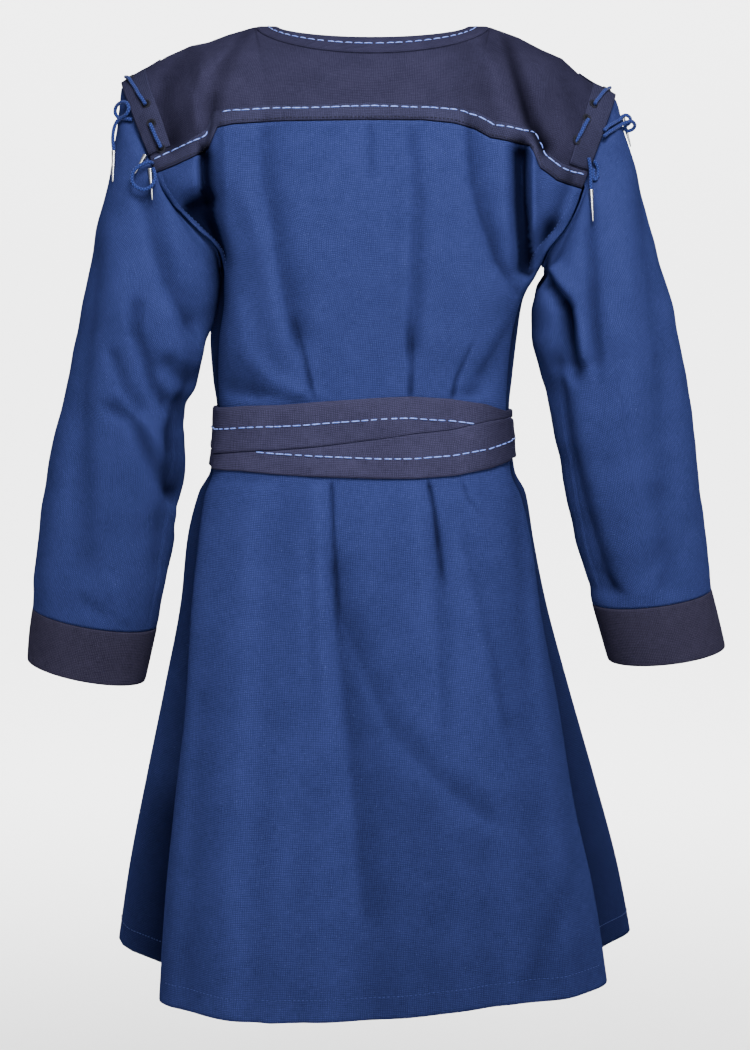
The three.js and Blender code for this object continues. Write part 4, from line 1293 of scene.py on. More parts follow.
@dataclass(frozen=True)
class SewingThread:
    """Thick two-ply thread: an uneven twist with a slight lustre."""

    name: str
    dark: str
    light: str

    def build(self) -> Material:
        """The node material, in object coordinates."""
        material, tree = new_material(self.name)
        twist = noise(tree, coordinates(tree, "Object"), 700.0, 2.0)
        inputs = {
            "Base Color": ramp(tree, twist, (0.3, linear_rgb(self.dark)), (0.7, linear_rgb(self.light))),
            "Roughness": 0.75,
            "Sheen Weight": 0.05,
            "Specular IOR Level": 0.12,
            "Normal": relief(tree, twist, 0.5, 0.3),
        }
        principled(tree, inputs)
        return material


@dataclass(frozen=True)
class Plaster:
    """Matt pale paint of one colour, for the studio's floor."""

    name: str
    colour: str

    def build(self) -> Material:
        """The node material."""
        material, tree = new_material(self.name)
        principled(tree, {"Base Color": linear_rgb(self.colour), "Roughness": 0.9})
        return material


def built(finish: WovenCotton | BraidedCord | PolishedMetal | SewingThread | Plaster) -> Material:
    """A dataclass field that holds the material of a finish."""
    return field(default_factory=finish.build)


@dataclass
class Wardrobe:
    """Every finish, built once."""

    blue: Material = built(WovenCotton("blue_cotton", "#1b2346", "#3c4680", "#7c8ec6"))
    navy: Material = built(WovenCotton("navy_cotton", "#181827", "#393750", "#606286", mottle=0.6))
    cuff: Material = built(WovenCotton("brown_cotton", "#1d1b28", "#413e54", "#625e76"))
    trim: Material = built(WovenCotton("brown_navy_cotton", "#1d1c2c", "#40405c", "#68657f", mottle=0.5))
    belt: Material = built(WovenCotton("belt_cotton", "#1e1d2f", "#484663", "#706e8c", mottle=0.5))
    lace: Material = built(BraidedCord("lace_cord", "#161f48", "#324286"))
    metal: Material = built(PolishedMetal("aglet_metal", "#dcdde0"))
    bright_thread: Material = built(SewingThread("bright_blue_thread", "#5672da", "#98aefa"))
    dark_thread: Material = built(SewingThread("navy_thread", "#12121e", "#20202e"))
    blue_thread: Material = built(SewingThread("blue_thread", "#202b5a", "#323f78"))
    # The dark disc in each eyelet, painted shade for the hole.
    hole: Material = built(SewingThread("eyelet_shadow", "#040408", "#08080e"))
    floor: Material = built(Plaster("pale_floor", "#f2f2f2"))


# ------------------------------------------------------------------ the pieces


@dataclass(frozen=True)
class Cut:
    """A sheet of cloth: its finish in the wardrobe, the name of a material slot, the width and length of
    the rectangle that it is cut from in metres, whether it is a closed ring, and how it is held."""

    finish: str
    slot: str
    flat: tuple[float, float]
    ring: bool = False
    held: str = "hung"


@dataclass
class Piece:
    """What every sub-assembly shares: the finishes, and how a finished object goes onto the garment's body.
    """

    wardrobe: Wardrobe

    def keep(
        self,
        made: Object,
        slot: str,
        nodes: Sequence[str] = (),
    ) -> Object:
        """Puts an object on the garment's body in place of its solids.

        Args:
            made: The object.
            slot: Not used.
            nodes: The solids that it stands for.

        Returns:
            The same object.
        """
        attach(made, BODY)
        if nodes:
            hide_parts(*nodes)
        LOG.info("%s: %d faces", made.name, len(made.data.polygons))
        return made

    def sheet(
        self,
        node: str,
        cut: Cut,
        grid: Array,
        out: Array,
        wall: Array | float,
        tone: Array | float = PLAIN_TONE,
        flat_grid: Array | None = None,
    ) -> None:
        """Builds a cut's grid as a closed wall of cloth and puts it on the body in place of its solid.
        The cut's area is worked out from the same grid as the mesh, so it is no separate measure of
        the cloth.

        Args:
            node: The solid; the object is named after it.
            cut: What it is cut from.
            grid: Outer face in millimetres, shape (across, up, 3).
            out: Outward directions, the same shape.
            wall: Thickness in millimetres.
            tone: From 0, dark with painted shade, to 1, pale with painted light and wear.
            flat_grid: Not used.
        """
        material = getattr(self.wardrobe, cut.finish)
        made = shell(f"cloth_{node}", grid, out, wall, material, cut.ring, tone)
        self.keep(made, cut.slot, (node,))

    def stitches(
        self, name: str, strand: Strand, runs: Iterable[tuple[Array, Array]], thread: Material, slot: str
    ) -> None:
        """Joins runs of stitches, as dashes() gives them, into one object."""
        path, out = (np.concatenate(part) for part in zip(*runs))
        self.keep(strand.build(f"stitch_{name}", path, out, thread), slot)


def aimed(name: str, data: bpy.types.ID, place: Place, aim: Place) -> Object:
    """A camera or lamp in the scene, at a place and turned to a point."""
    made = bpy.data.objects.new(name, data)
    made.location = place
    made.rotation_euler = (Vector(aim) - Vector(place)).to_track_quat("-Z", "Y").to_euler()
    bpy.context.scene.collection.objects.link(made)
    return made


@dataclass(frozen=True)
class Lamp:
    """A square soft lamp: its place, what it is turned to, its side in metres, and its watts."""

    name: str
    place: Place
    aim: Place
    size: float
    watts: float

    def build(self) -> None:
        """Puts the lamp into the scene."""
        data = bpy.data.lights.new(self.name, "AREA")
        data.shape, data.size, data.energy = "SQUARE", self.size, self.watts
        aimed(self.name, data, self.place, self.aim)


CHEST = (0, 0, -0.3)
LAMPS = (
    Lamp("key", (-0.25, 1.5, 0.95), CHEST, 0.8, 71),
    Lamp("fill", (-0.3, 2.7, 0.5), CHEST, 1.6, 32),
    Lamp("backdrop_right", (-1.6, -2.9, 2.0), (-1.6, -5.2, -1.4), 1.6, 400),
    Lamp("backdrop_left", (1.6, -2.9, 2.0), (1.6, -5.2, -1.4), 1.6, 400),
)


@dataclass
class Studio(Piece):
    """The camera, the pale floor and the soft light, in metres."""

    eye: Place = (-0.0026, 2.6, -0.3125)
    aim: Place = (-0.0026, 0, -0.51725)
    lens: float = 85.16
    ground: float = -1.45
    sky: float = 0.25

    def build(self) -> None:
        """Sets up the camera, floor, backdrop and lights."""
        self._camera()
        self._floor()
        for lamp in LAMPS:
            lamp.build()
        world = bpy.data.worlds.new("studio")
        world.use_nodes = True
        tree = world.node_tree
        tree.nodes.clear()
        white = {"Color": (1, 1, 1, 1), "Strength": self.sky}
        sky = add_node(tree, "ShaderNodeBackground", white)
        add_node(tree, "ShaderNodeOutputWorld", {"Surface": sky.outputs[0]})
        bpy.context.scene.world = world

    def _camera(self) -> None:
        """A camera behind the wearer, at shoulder height."""
        data = bpy.data.cameras.new("camera")
        data.lens, data.sensor_width = self.lens, 36
        bpy.context.scene.camera = aimed("camera", data, self.eye, self.aim)

    def _floor(self) -> None:
        """A floor that turns up into a backdrop: level, then a quarter round, then upright."""
        radius, near, far, wide, tall = 1.5, 6.0, -4.2, 9.0, 6.0
        turn = np.linspace(0, math.pi / 2, 20)
        y = np.concatenate([[near], far - radius * np.sin(turn), [far - radius]]) / MM
        z = np.concatenate([[0], radius * (1 - np.cos(turn)), [tall]]) / MM + self.ground / MM
        x = np.linspace(-wide, wide, 3) / MM
        grid = point(x[:, None], y[None], z[None])
        faces, place = grid_quads(3, len(y), False)
        floor = make_object("floor", grid.reshape(-1, 3), faces[:, ::-1], place * 0.1, self.wardrobe.floor)


def smooth_route(route: Sequence[Place], step: float = 0.8) -> Array:
    """A centripetal Catmull-Rom curve through points, at even steps of about step millimetres."""
    p = np.array(route, float)
    p = np.concatenate([2 * p[:1] - p[1:2], p, 2 * p[-1:] - p[-2:-1]])
    knots = np.concatenate([[0], np.cumsum(np.linalg.norm(np.diff(p, axis=0), axis=1) ** 0.5)])
    pieces = []
    for k in range(1, len(p) - 2):
        t = np.linspace(knots[k], knots[k + 1], 24, endpoint=k == len(p) - 3)[:, None]

        def mix(a: Array, b: Array, i: int, j: int) -> Array:
            """The value at t of the straight line from a at knot i to b at knot j."""
            return (a * (knots[j] - t) + b * (t - knots[i])) / (knots[j] - knots[i])

        a1, a2, a3 = (mix(p[k + i], p[k + i + 1], k + i, k + i + 1) for i in (-1, 0, 1))
        b1, b2 = mix(a1, a2, k - 1, k + 1), mix(a2, a3, k, k + 2)
        pieces.append(mix(b1, b2, k, k + 1))
    line = np.concatenate(pieces)
    run = lengths_along(line[None], 1, False)[0]
    at = np.linspace(0, run[-1], max(int(run[-1] / step), 12))
    return np.stack([np.interp(at, run, line[:, k]) for k in range(3)], -1)


@dataclass(frozen=True)
class LaceRoute:
    """One lace: its node, its middle line, and for a free one how it ends and what it carries."""

    node: str
    route: tuple[Place, ...]
    far_end: str | None = None
    carries: tuple[str, ...] = ()


LACES = (
    LaceRoute(
        "lace_tie_left_upper",
        (
            (244.5, 46, -99.5), (250.5, 43, -98.5), (256.5, 35.5, -97.5), (260.5, 31, -96),
            (263.5, 30, -91.5), (262.5, 32, -85.5), (257, 37, -81.5), (250.5, 43.5, -82.5),
            (248, 47, -88.5), (250.5, 46, -94), (256.5, 40, -97.5), (261, 37, -100.5),
            (264, 36, -106.5), (265.5, 36, -114.5), (265.5, 37, -122.5), (264.5, 38, -130),
        ),
        "fitting",
        ("aglet_left_upper",),
    ),
    LaceRoute(
        "lace_tie_left_lower",
        (
            (222.5, 65, -144.5), (225, 69, -144), (228, 71, -144.5), (232.5, 72, -146.5),
            (237.5, 72.5, -149.5), (241.5, 72.5, -154), (243, 72.5, -160), (241.5, 72.5, -166),
            (237, 72.5, -170), (231, 72.5, -171.5), (225, 72.5, -169.5), (221, 72, -165),
            (219.5, 70.5, -159), (220.5, 69.5, -153.5), (222, 70, -149.5),
        ),
        "object",
        ("aglet_left_lower_a", "aglet_left_lower_b"),
    ),
    LaceRoute(
        "lace_tie_right_upper",
        (
            (-235.5, 50, -111), (-240.5, 44, -106), (-245.5, 38, -103), (-249.5, 31.5, -100.5),
            (-254, 27, -98), (-256.5, 24, -94.5), (-261, 22, -93), (-265, 21, -96),
            (-264.5, 20, -100.5), (-261.5, 18, -103), (-259.5, 16, -106), (-263.5, 15, -108.5),
            (-268.5, 16, -106.5), (-270, 19, -103), (-267, 22, -99.5), (-262, 25.5, -100),
            (-256.5, 28.5, -102.5), (-251, 33, -106), (-246, 40, -109), (-240, 46, -113),
            (-235, 52, -117),
        ),
        "object",
        ("aglet_right_upper",),
    ),
    LaceRoute(
        "lace_tie_right_lower",
        (
            (-219, 62.5, -139), (-220, 62, -143.5), (-221, 61, -149.5), (-221.5, 60, -156.5),
            (-221.5, 59.5, -163.5), (-222, 60, -170.5),
        ),
        "fitting",
        ("aglet_right_lower",),
    ),
    LaceRoute(
        "lace_loop_right_lower",
        (
            (-225, 57.5, -141.5), (-228, 57, -146), (-229.5, 56.5, -152), (-228.5, 57.5, -158),
            (-226, 58, -161), (-224.5, 57.5, -157), (-224.5, 56.5, -150),
        ),
        "object",
    ),
    LaceRoute(
        "lace_hold_left_upper",
        (
            (255.5, 1, -52), (253.5, 10, -53), (250, 23.5, -55.5), (245.5, 32.5, -62),
            (241.5, 40, -67.5), (238, 47.5, -73.5), (234, 52, -79), (230, 56, -85),
        ),
    ),
    LaceRoute(
        "lace_hold_left_lower",
        (
            (225, 64, -105), (223.5, 65, -108), (221, 67, -113.5), (218.5, 68.5, -119.5),
            (215.5, 70, -125), (213.5, 71, -129.5),
        ),
    ),
    LaceRoute(
        "lace_hold_right_upper",
        (
            (-246, 1, -63), (-242, 12.5, -65.5), (-239, 23.5, -67.5), (-235, 31, -72),
            (-231.5, 37.5, -76.5), (-228.5, 43, -80), (-226, 48, -84),
        ),
    ),
    LaceRoute(
        "lace_hold_right_lower",
        (
            (-219, 58, -100), (-217, 60.5, -103), (-213.5, 64.5, -109), (-210.5, 67, -115),
            (-207, 69, -120.5), (-204.5, 70, -124),
        ),
    ),
)
AGLETS = {
    "aglet_left_upper": ((264.5, 38.5, -130.5), (265, 45, -162.5)),
    "aglet_left_lower_a": ((230, 61, -136), (240.5, 64, -155)),
    "aglet_left_lower_b": ((225, 65, -150), (222.5, 70.5, -182)),
    "aglet_right_upper": ((-258.3, 9, -93.5), (-267, 10, -124.5)),
    "aglet_right_lower": ((-222, 60, -171), (-223.5, 66.5, -203.5)),
}


@dataclass
class Lacing(Piece):
    """Round laces that tie the sleeves to the yokes, and their metal tips."""

    radius: float = 1.9
    top: float = 2.5
    tip: float = 0.7

    def build(self) -> None:
        tips = {name: self._aglet(name, *map(np.array, ends)) for name, ends in AGLETS.items()}
        for lace in LACES:
            path = smooth_route(lace.route)
            thick = np.full(len(path), self.radius)
            made = swept(f"cord_{lace.node.removeprefix('lace_')}", path, thick, self.wardrobe.lace)
            self.keep(made, "lace_cord", (lace.node,))

    def _aglet(self, name: str, start: Array, end: Array) -> Object:
        """A cone with a rolled rim at its wide end and a rounded tip."""
        t = np.array([0, 0.004, 0.02, 0.035, 0.05, 0.065, 0.08, 0.3, 0.55, 0.8, 0.93, 0.975, 1])
        profile = lerp(self.top, self.tip, t)
        profile += 0.25 * bell(t - 0.035, 0.014)
        profile[0] *= 0.8
        profile[-1] *= 0.45
        path = start + (end - start) * t[:, None]
        made = swept(f"tip_{name.removeprefix('aglet_')}", path, profile, self.wardrobe.metal, 20)
        return self.keep(made, "aglet_metal", (name,))


@dataclass
class Panels(Piece):
    """The back and front panels, from the yoke seams to the hem, with their hems and stitching."""

    columns: dict[Face, int] = field(default_factory=lambda: {Face.BACK: 226, Face.FRONT: 150})
    rows: dict[Face, int] = field(default_factory=lambda: {Face.BACK: 210, Face.FRONT: 150})
    back: Cut = Cut("blue", "blue_cotton", (0.62, 0.93))
    front: Cut = Cut("blue", "blue_cotton", (0.86, 0.93))
    # Millimetres for one share near the armholes.
    half: dict[Face, float] = field(default_factory=lambda: {Face.BACK: 200, Face.FRONT: 420})
    hem_width: float = 22
    hem_turn: float = 0.8
    # Painted shade towards the hem: the share of the tone left there.
    hem_painted_shade: float = 0.84
    # Widths of the strips along the armholes, at their tops and at their feet.
    strips: dict[Side, tuple[float, float]] = field(
        default_factory=lambda: {Side.LEFT: (3.6, 3.6), Side.RIGHT: (5.5, 14)}
    )
    strip_rise: float = 1.1
    # The least tone of the armhole strips, which spares them the slot's painted shade.
    strip_tone: float = 0.46

    def build(self) -> None:
        for face in Face:
            share, z = self._places(face)
            plain = TORSO.panel(face, share, z)
            out = self._out(plain, face)
            lift = self._strip_lift(face, share, z)
            hem = self.hem_turn * smoothstep(self.hem_width - (z - z[:, :1]), -1, 1)
            cut = self.back if face is Face.BACK else self.front
            grid, wall = plain + out * lift[..., None], CLOTH + lift + hem
            self.sheet(f"body_{face.word}", cut, grid, out, wall, self._tone(face, share, z, lift))
            self._stitch(face)

    def _tone(self, face: Face, share: Array, z: Array, lift: Array) -> Array:
        """The tone of a panel: painted shade and light from its folds, with the armhole strips spared the
        slot's painted shade, and painted shade towards the hem and on the front's sides.
        """
        x = TORSO.plain(face, share, z)[..., 0]
        strips = self.strip_tone * lift / self.strip_rise
        tone = np.clip(np.maximum(TORSO.tone(face, share, x, z), strips), 0, 1)
        tone = tone * lerp(1, self.hem_painted_shade, smoothstep(-z, 820, 980))
        return tone * self._side_light(share, z) if face is Face.FRONT else tone

    def _out(self, grid: Array, face: Face) -> Array:
        """The grid's normals, turned outwards."""
        normals = grid_normals(grid, False)
        return normals if np.mean(normals[..., 1]) * face.value > 0 else -normals

    def _places(self, face: Face) -> tuple[Array, Array]:
        """Shares and heights of the grid: rows even from the hem to the yoke's seam."""
        share = shares_across(self.columns[face])[:, None]
        rows = np.linspace(0, 1, self.rows[face])[None]
        z = lerp(HEM[face].linear("z", share), SEAM[face].linear("z", share) - TORSO.seam_half, rows)
        return np.broadcast_to(share, z.shape), z

    def _side_light(self, share: Array, z: Array) -> Array:
        """The share of light that reaches the front panel, less behind the back panel's edges.

        q is 0 at a side seam and 1 where the side turns into the front, and the light grows with
        it. At the foot of the skirt the left side's light starts later and reaches further. Above
        the belt the sides are lighter than below it.

        Args:
            share: Place across the panel.
            z: Height.

        Returns:
            The share, from 0 to 1.
        """
        q = (1 - np.abs(share)) / RETURN_SHARE
        clearing = smoothstep(q, 0.1, 1.1)
        left = lerp(lerp(0.06, 0.8, clearing), smoothstep(q, 0.5, 1.25), smoothstep(-z, 770, 830))
        right = np.maximum(lerp(0, 0.45, clearing), smoothstep(q, 1, 1.6))
        skirt = np.where(share > 0, left, right)
        bodice = lerp(0.3, 1, smoothstep(q, 0.3, 1.3))
        return lerp(bodice, skirt, smoothstep(-z, 430, 520))

    def _strip_lift(self, face: Face, share: Array, z: Array) -> Array:
        """How far the doubled strip along each armhole stands out."""
        inside = (1 - np.abs(share)) * self.half[face]
        wide = np.where(share > 0, self._strip(Side.LEFT, z), self._strip(Side.RIGHT, z))
        ends = smoothstep(z, UNDERARM_Z - 4, UNDERARM_Z + 8)
        return self.strip_rise * smoothstep(wide - inside, -1.2, 0) * ends

    def _strip(self, side: Side, z: Array) -> Array:
        """Width of the strip along an armhole."""
        return lerp(*self.strips[side], smoothstep(-z, 170, 250))

    def _stitch(self, face: Face) -> None:
        """Small stitches in the cloth's own colour above the hem and along the armholes."""
        surface = partial(TORSO.panel, face)
        share = np.linspace(0.97, -0.97, 500)
        lines = [(share, HEM[face].linear("z", share) + self.hem_width)]
        for side in Side:
            z = np.linspace(float(SEAM[face].linear("z", side.value)) - 6, UNDERARM_Z + 6, 120)
            width = (self._strip(side, z) + 1.4) / self.half[face]
            lines.append((side.value * (1 - width), z))
        runs = []
        for seed, (share, z) in enumerate(lines):
            out = TORSO.outward(surface, share, z, face, 0.5)
            runs.append(dashes(surface(share, z) + out * 0.1, out, 3.0, 1.5, 5, 60 + seed))
        strand = Strand(0.42, 0.35, 5)
        self.stitches(f"body_{face.word}", strand, runs, self.wardrobe.blue_thread, "blue_cotton")


@dataclass(frozen=True)
class Eyelet:
    """A hole worked round with thread: a ring of close stitches, and painted shade in the hole inside as a
    dark disc.
    """

    outer: float = 5.2
    inner: float = 2.6
    stitches: int = 26
    sides: int = 20
    under: float = 1.1
    lift: float = 0.35

    def build(self, name: str, centre: Array, out: Array, thread: Material, hole: Material) -> list[Object]:
        """The ring of stitches and the hole.

        Each stitch goes straight across the ring from its outer to its inner circle.

        Args:
            name: Name of the eyelet.
            centre: Its middle on the cloth.
            out: Outward direction there.
            thread: Finish of the stitches.
            hole: Finish of the dark disc of painted shade in the hole.

        Returns:
            Both objects.
        """
        side = unit(np.cross(out, [0.2, 0.1, 1.0]))
        up = np.cross(side, out)
        turn = np.linspace(0, 2 * math.pi, self.stitches, endpoint=False)[:, None, None]
        radius = lerp(self.outer, self.inner, np.linspace(0, 1, 5))[None, :, None]
        path = centre + radius * (np.cos(turn) * side + np.sin(turn) * up) + out * 0.1
        ups = np.broadcast_to(out, path.shape)
        ring = Strand(0.62, 0.7, 5).build(f"eyelet_{name}", path, ups, thread)
        # The hole is painted shade: a thin dark disc that reaches a little under the ring.
        angle = np.linspace(0, 2 * math.pi, self.sides, endpoint=False)[:, None, None]
        rim = np.array([0.05, 1, 1, 0.05])[None, :, None] * self.inner * self.under
        lift = np.array([self.lift, self.lift, 0.0, 0.0])[None, :, None]
        disc = centre + rim * (np.cos(angle) * side + np.sin(angle) * up) + out * lift
        faces, _ = grid_quads(self.sides, 4, True)
        pair = np.arange(0, self.sides, 2)
        caps = np.stack([(pair + k) % self.sides for k in range(3)], -1)
        fans = [
            np.concatenate([caps * 4 + row, np.full((len(pair), 1), 4 * self.sides + pole)], 1)
            for pole, row in enumerate((0, 3))
        ]
        quads = np.concatenate([faces, fans[0][:, ::-1], fans[1]])
        points = np.concatenate([disc.reshape(-1, 3), (centre + out * self.lift)[None], centre[None]])
        uv = np.zeros((len(quads), 4, 2))
        return [ring, make_object(f"hole_{name}", points, quads, uv, hole)]


@dataclass
class Yokes(Piece):
    """The dark shoulder pieces with the strips along their lower edges and armholes."""

    cloth: Cut = Cut("navy", "navy_cotton", (0.62, 0.25))
    band: Cut = Cut("trim", "brown_navy_cotton", (0.66, 0.02))
    armhole_band: Cut = Cut("trim", "brown_navy_cotton", (0.06, 0.34))
    columns: int = 250
    rows: int = 40
    trim: float = 1.2
    stand: float = 1.5
    band_tone: float = 0.4
    stitch_height: float = 13.2
    # Between these x a fold of the back panel hides the strip and its stitches.
    hidden: tuple[float, float] = (153, 164)
    eyelets: dict[Side, tuple[Place, ...]] = field(
        default_factory=lambda: {
            Side.LEFT: ((250, 16, -53), (231, 55, -83), (225, 63, -103), (214, 70, -128)),
            Side.RIGHT: ((-242, 12, -65), (-227, 47, -82), (-219, 58, -98), (-206, 70, -122)),
        }
    )

    def build(self) -> None:
        """Builds yokes, strips, stitching and eyelets."""
        share = shares_across(self.columns)[:, None]
        rise = np.linspace(0, 1, self.rows)[None]
        for face in Face:
            grid = TORSO.yoke(face, share, rise)
            out, tone = self._out(face, share, rise), self._tone(face, share, grid)
            self.sheet(f"yoke_{face.word}", self.cloth, grid, out, CLOTH, tone)
            self._band(face, share)
            self._stitch(face)
        for side in Side:
            self._armhole_band(side)
            self._eyelets(side)

    def _band(self, face: Face, share: Array) -> None:
        """The strip along a yoke's lower edge, thinner at its own edges."""
        t = np.linspace(0, 1, 8)[None]
        rise = TORSO.band_rise(face, share[:, 0])[:, None] * t
        grid = TORSO.yoke(face, share, rise)
        out = self._out(face, share, rise)
        lift = self.stand * np.clip(1 - np.abs(2 * t - 1) ** 8, 0.3, 1)
        outer, tone = grid + out * lift[..., None], self._tone(face, share, grid)
        self.sheet(f"yoke_band_{face.word}", self.band, outer, out, self.trim, tone, grid)

    def _tone(self, face: Face, share: Array, grid: Array) -> Array:
        """The tone of a part of a yoke: painted shade and light from its folds, and painted shade towards the
        right shoulder.
        """
        x, z = grid[..., 0], grid[..., 2]
        # Painted shade towards the right shoulder.
        aside = 0.12 * smoothstep(-x, 50, 120)
        return np.clip(TORSO.tone(face, share, x, z) - aside, 0, 1)

    def _out(self, face: Face, share: Array, rise: Array) -> Array:
        """Outward directions of a yoke, kept upright along the shoulder line."""
        share, rise = np.broadcast_arrays(share, rise)
        out = TORSO.outward(partial(TORSO.yoke, face), share, rise, face, 0.01)
        level = (rise > 0.999) & (np.abs(share) >= NECK_SHARE)
        out[..., 1] = np.where(level, 0, out[..., 1])
        return unit(out)

    def _stitch(self, face: Face) -> None:
        """Running stitches along the lower strip, and small dark ones beside its seam."""
        share = np.linspace(0.985, -0.985, 600)
        finish = self.wardrobe
        for height, drift, strand, sizes, thread, slot in (
            (self.stitch_height, 0.5, Strand(0.68, 0.55, 7), (8.8, 1.1), finish.bright_thread, "lace_cord"),
            (2.2, 0, Strand(0.35, 0.3, 5), (2.6, 1.4), finish.dark_thread, "navy_cotton"),
        ):
            wander = height + drift * ripple(share * 200, share * 0, 60, 9)
            rise = TORSO.band_rise(face, share, wander)
            rise = np.convolve(np.pad(rise, 5, "edge"), np.ones(11) / 11, "valid")
            out = self._out(face, share, rise)
            line = TORSO.yoke(face, share, rise) + out * (self.stand + 0.1)
            path, up = dashes(line, out, *sizes, strand.along, 11 + face.value)
            if face is Face.BACK:
                low, high = self.hidden
                seen = ~((path[..., 0] > low) & (path[..., 0] < high)).any(axis=1)
                path, up = path[seen], up[seen]
            self.stitches(f"yoke_{face.word}_{height:.0f}", strand, [(path, up)], thread, slot)

    def _armhole_band(self, side: Side) -> None:
        """A strip along an armhole, from the back yoke's lower strip over the shoulder to the front."""
        halves = []
        for face, start in ((Face.BACK, 0.9), (Face.FRONT, 1 - RETURN_SHARE)):
            share = np.linspace(start, 1, 18)[:, None] * side.value
            foot = TORSO.band_rise(face, share[:, 0])[:, None] + 0.012
            rise = lerp(foot, 1, np.linspace(0, 1, 40)[None])
            out = self._out(face, share, rise)
            halves.append((TORSO.yoke(face, share, rise) + out * self.stand, out))
        grid, out = (np.concatenate([back, front[:, ::-1]], 1) for back, front in zip(*halves))
        name = f"armhole_band_{side.word}"
        self.sheet(name, self.armhole_band, grid, out, self.trim, self.band_tone)

    def _eyelets(self, side: Side) -> None:
        """The worked holes of one armhole band, each on the place of the cloth nearest its centre."""
        share = np.linspace(0.86, 1, 60)[:, None] * side.value
        rise = np.linspace(0.04, 1, 160)[None]
        for face in Face:
            grid = TORSO.yoke(face, share, rise)
            out = self._out(face, share, rise)
            for k, centre in enumerate(self.eyelets[side]):
                centre = np.array(centre) * [1, face.value, 1]
                away = np.linalg.norm(grid - centre, axis=-1)
                near = np.unravel_index(np.argmin(away), away.shape)
                place = grid[near] + out[near] * self.stand
                name = f"{side.word}_{face.word}_{k}"
                finishes = self.wardrobe.dark_thread, self.wardrobe.hole
                for made in Eyelet().build(name, place, out[near], *finishes):
                    self.keep(made, "brown_navy_cotton")


@dataclass
class NeckBand(Piece):
    """The round strip that edges the neck."""

    cut: Cut = Cut("navy", "navy_cotton", (0.68, 0.04), ring=True)
    wall: float = 2.0

    def build(self) -> None:
        """Builds the strip and its stitching."""
        share = np.linspace(-NECK_SHARE, NECK_SHARE, 90)
        seam, edge = (
            np.concatenate([line.at(Face.BACK, share), line.at(Face.FRONT, share[::-1])[1:-1]])
            for line in (NECK_SEAM, NECK_EDGE)
        )
        across = unit(edge - seam)
        seam = seam + across
        t = np.linspace(0, 1, 10)[None, :, None]
        grid = lerp(seam[:, None], edge[:, None], t)
        out = grid_normals(grid, True)
        out = -out if out[..., 2].mean() < 0 else out
        grid = grid + out * rounded(t, 6)
        self.sheet("neck_band", self.cut, grid, out, self.wall)
        middle = grid.shape[1] // 2
        line, ups = (np.concatenate([rows[:, middle], rows[:1, middle]]) for rows in (grid, out))
        runs = [dashes(line + ups * 0.1, ups, 8.4, 1.6, 7, 21)]
        self.stitches("neck", Strand(0.6, 0.5, 7), runs, self.wardrobe.bright_thread, "lace_cord")


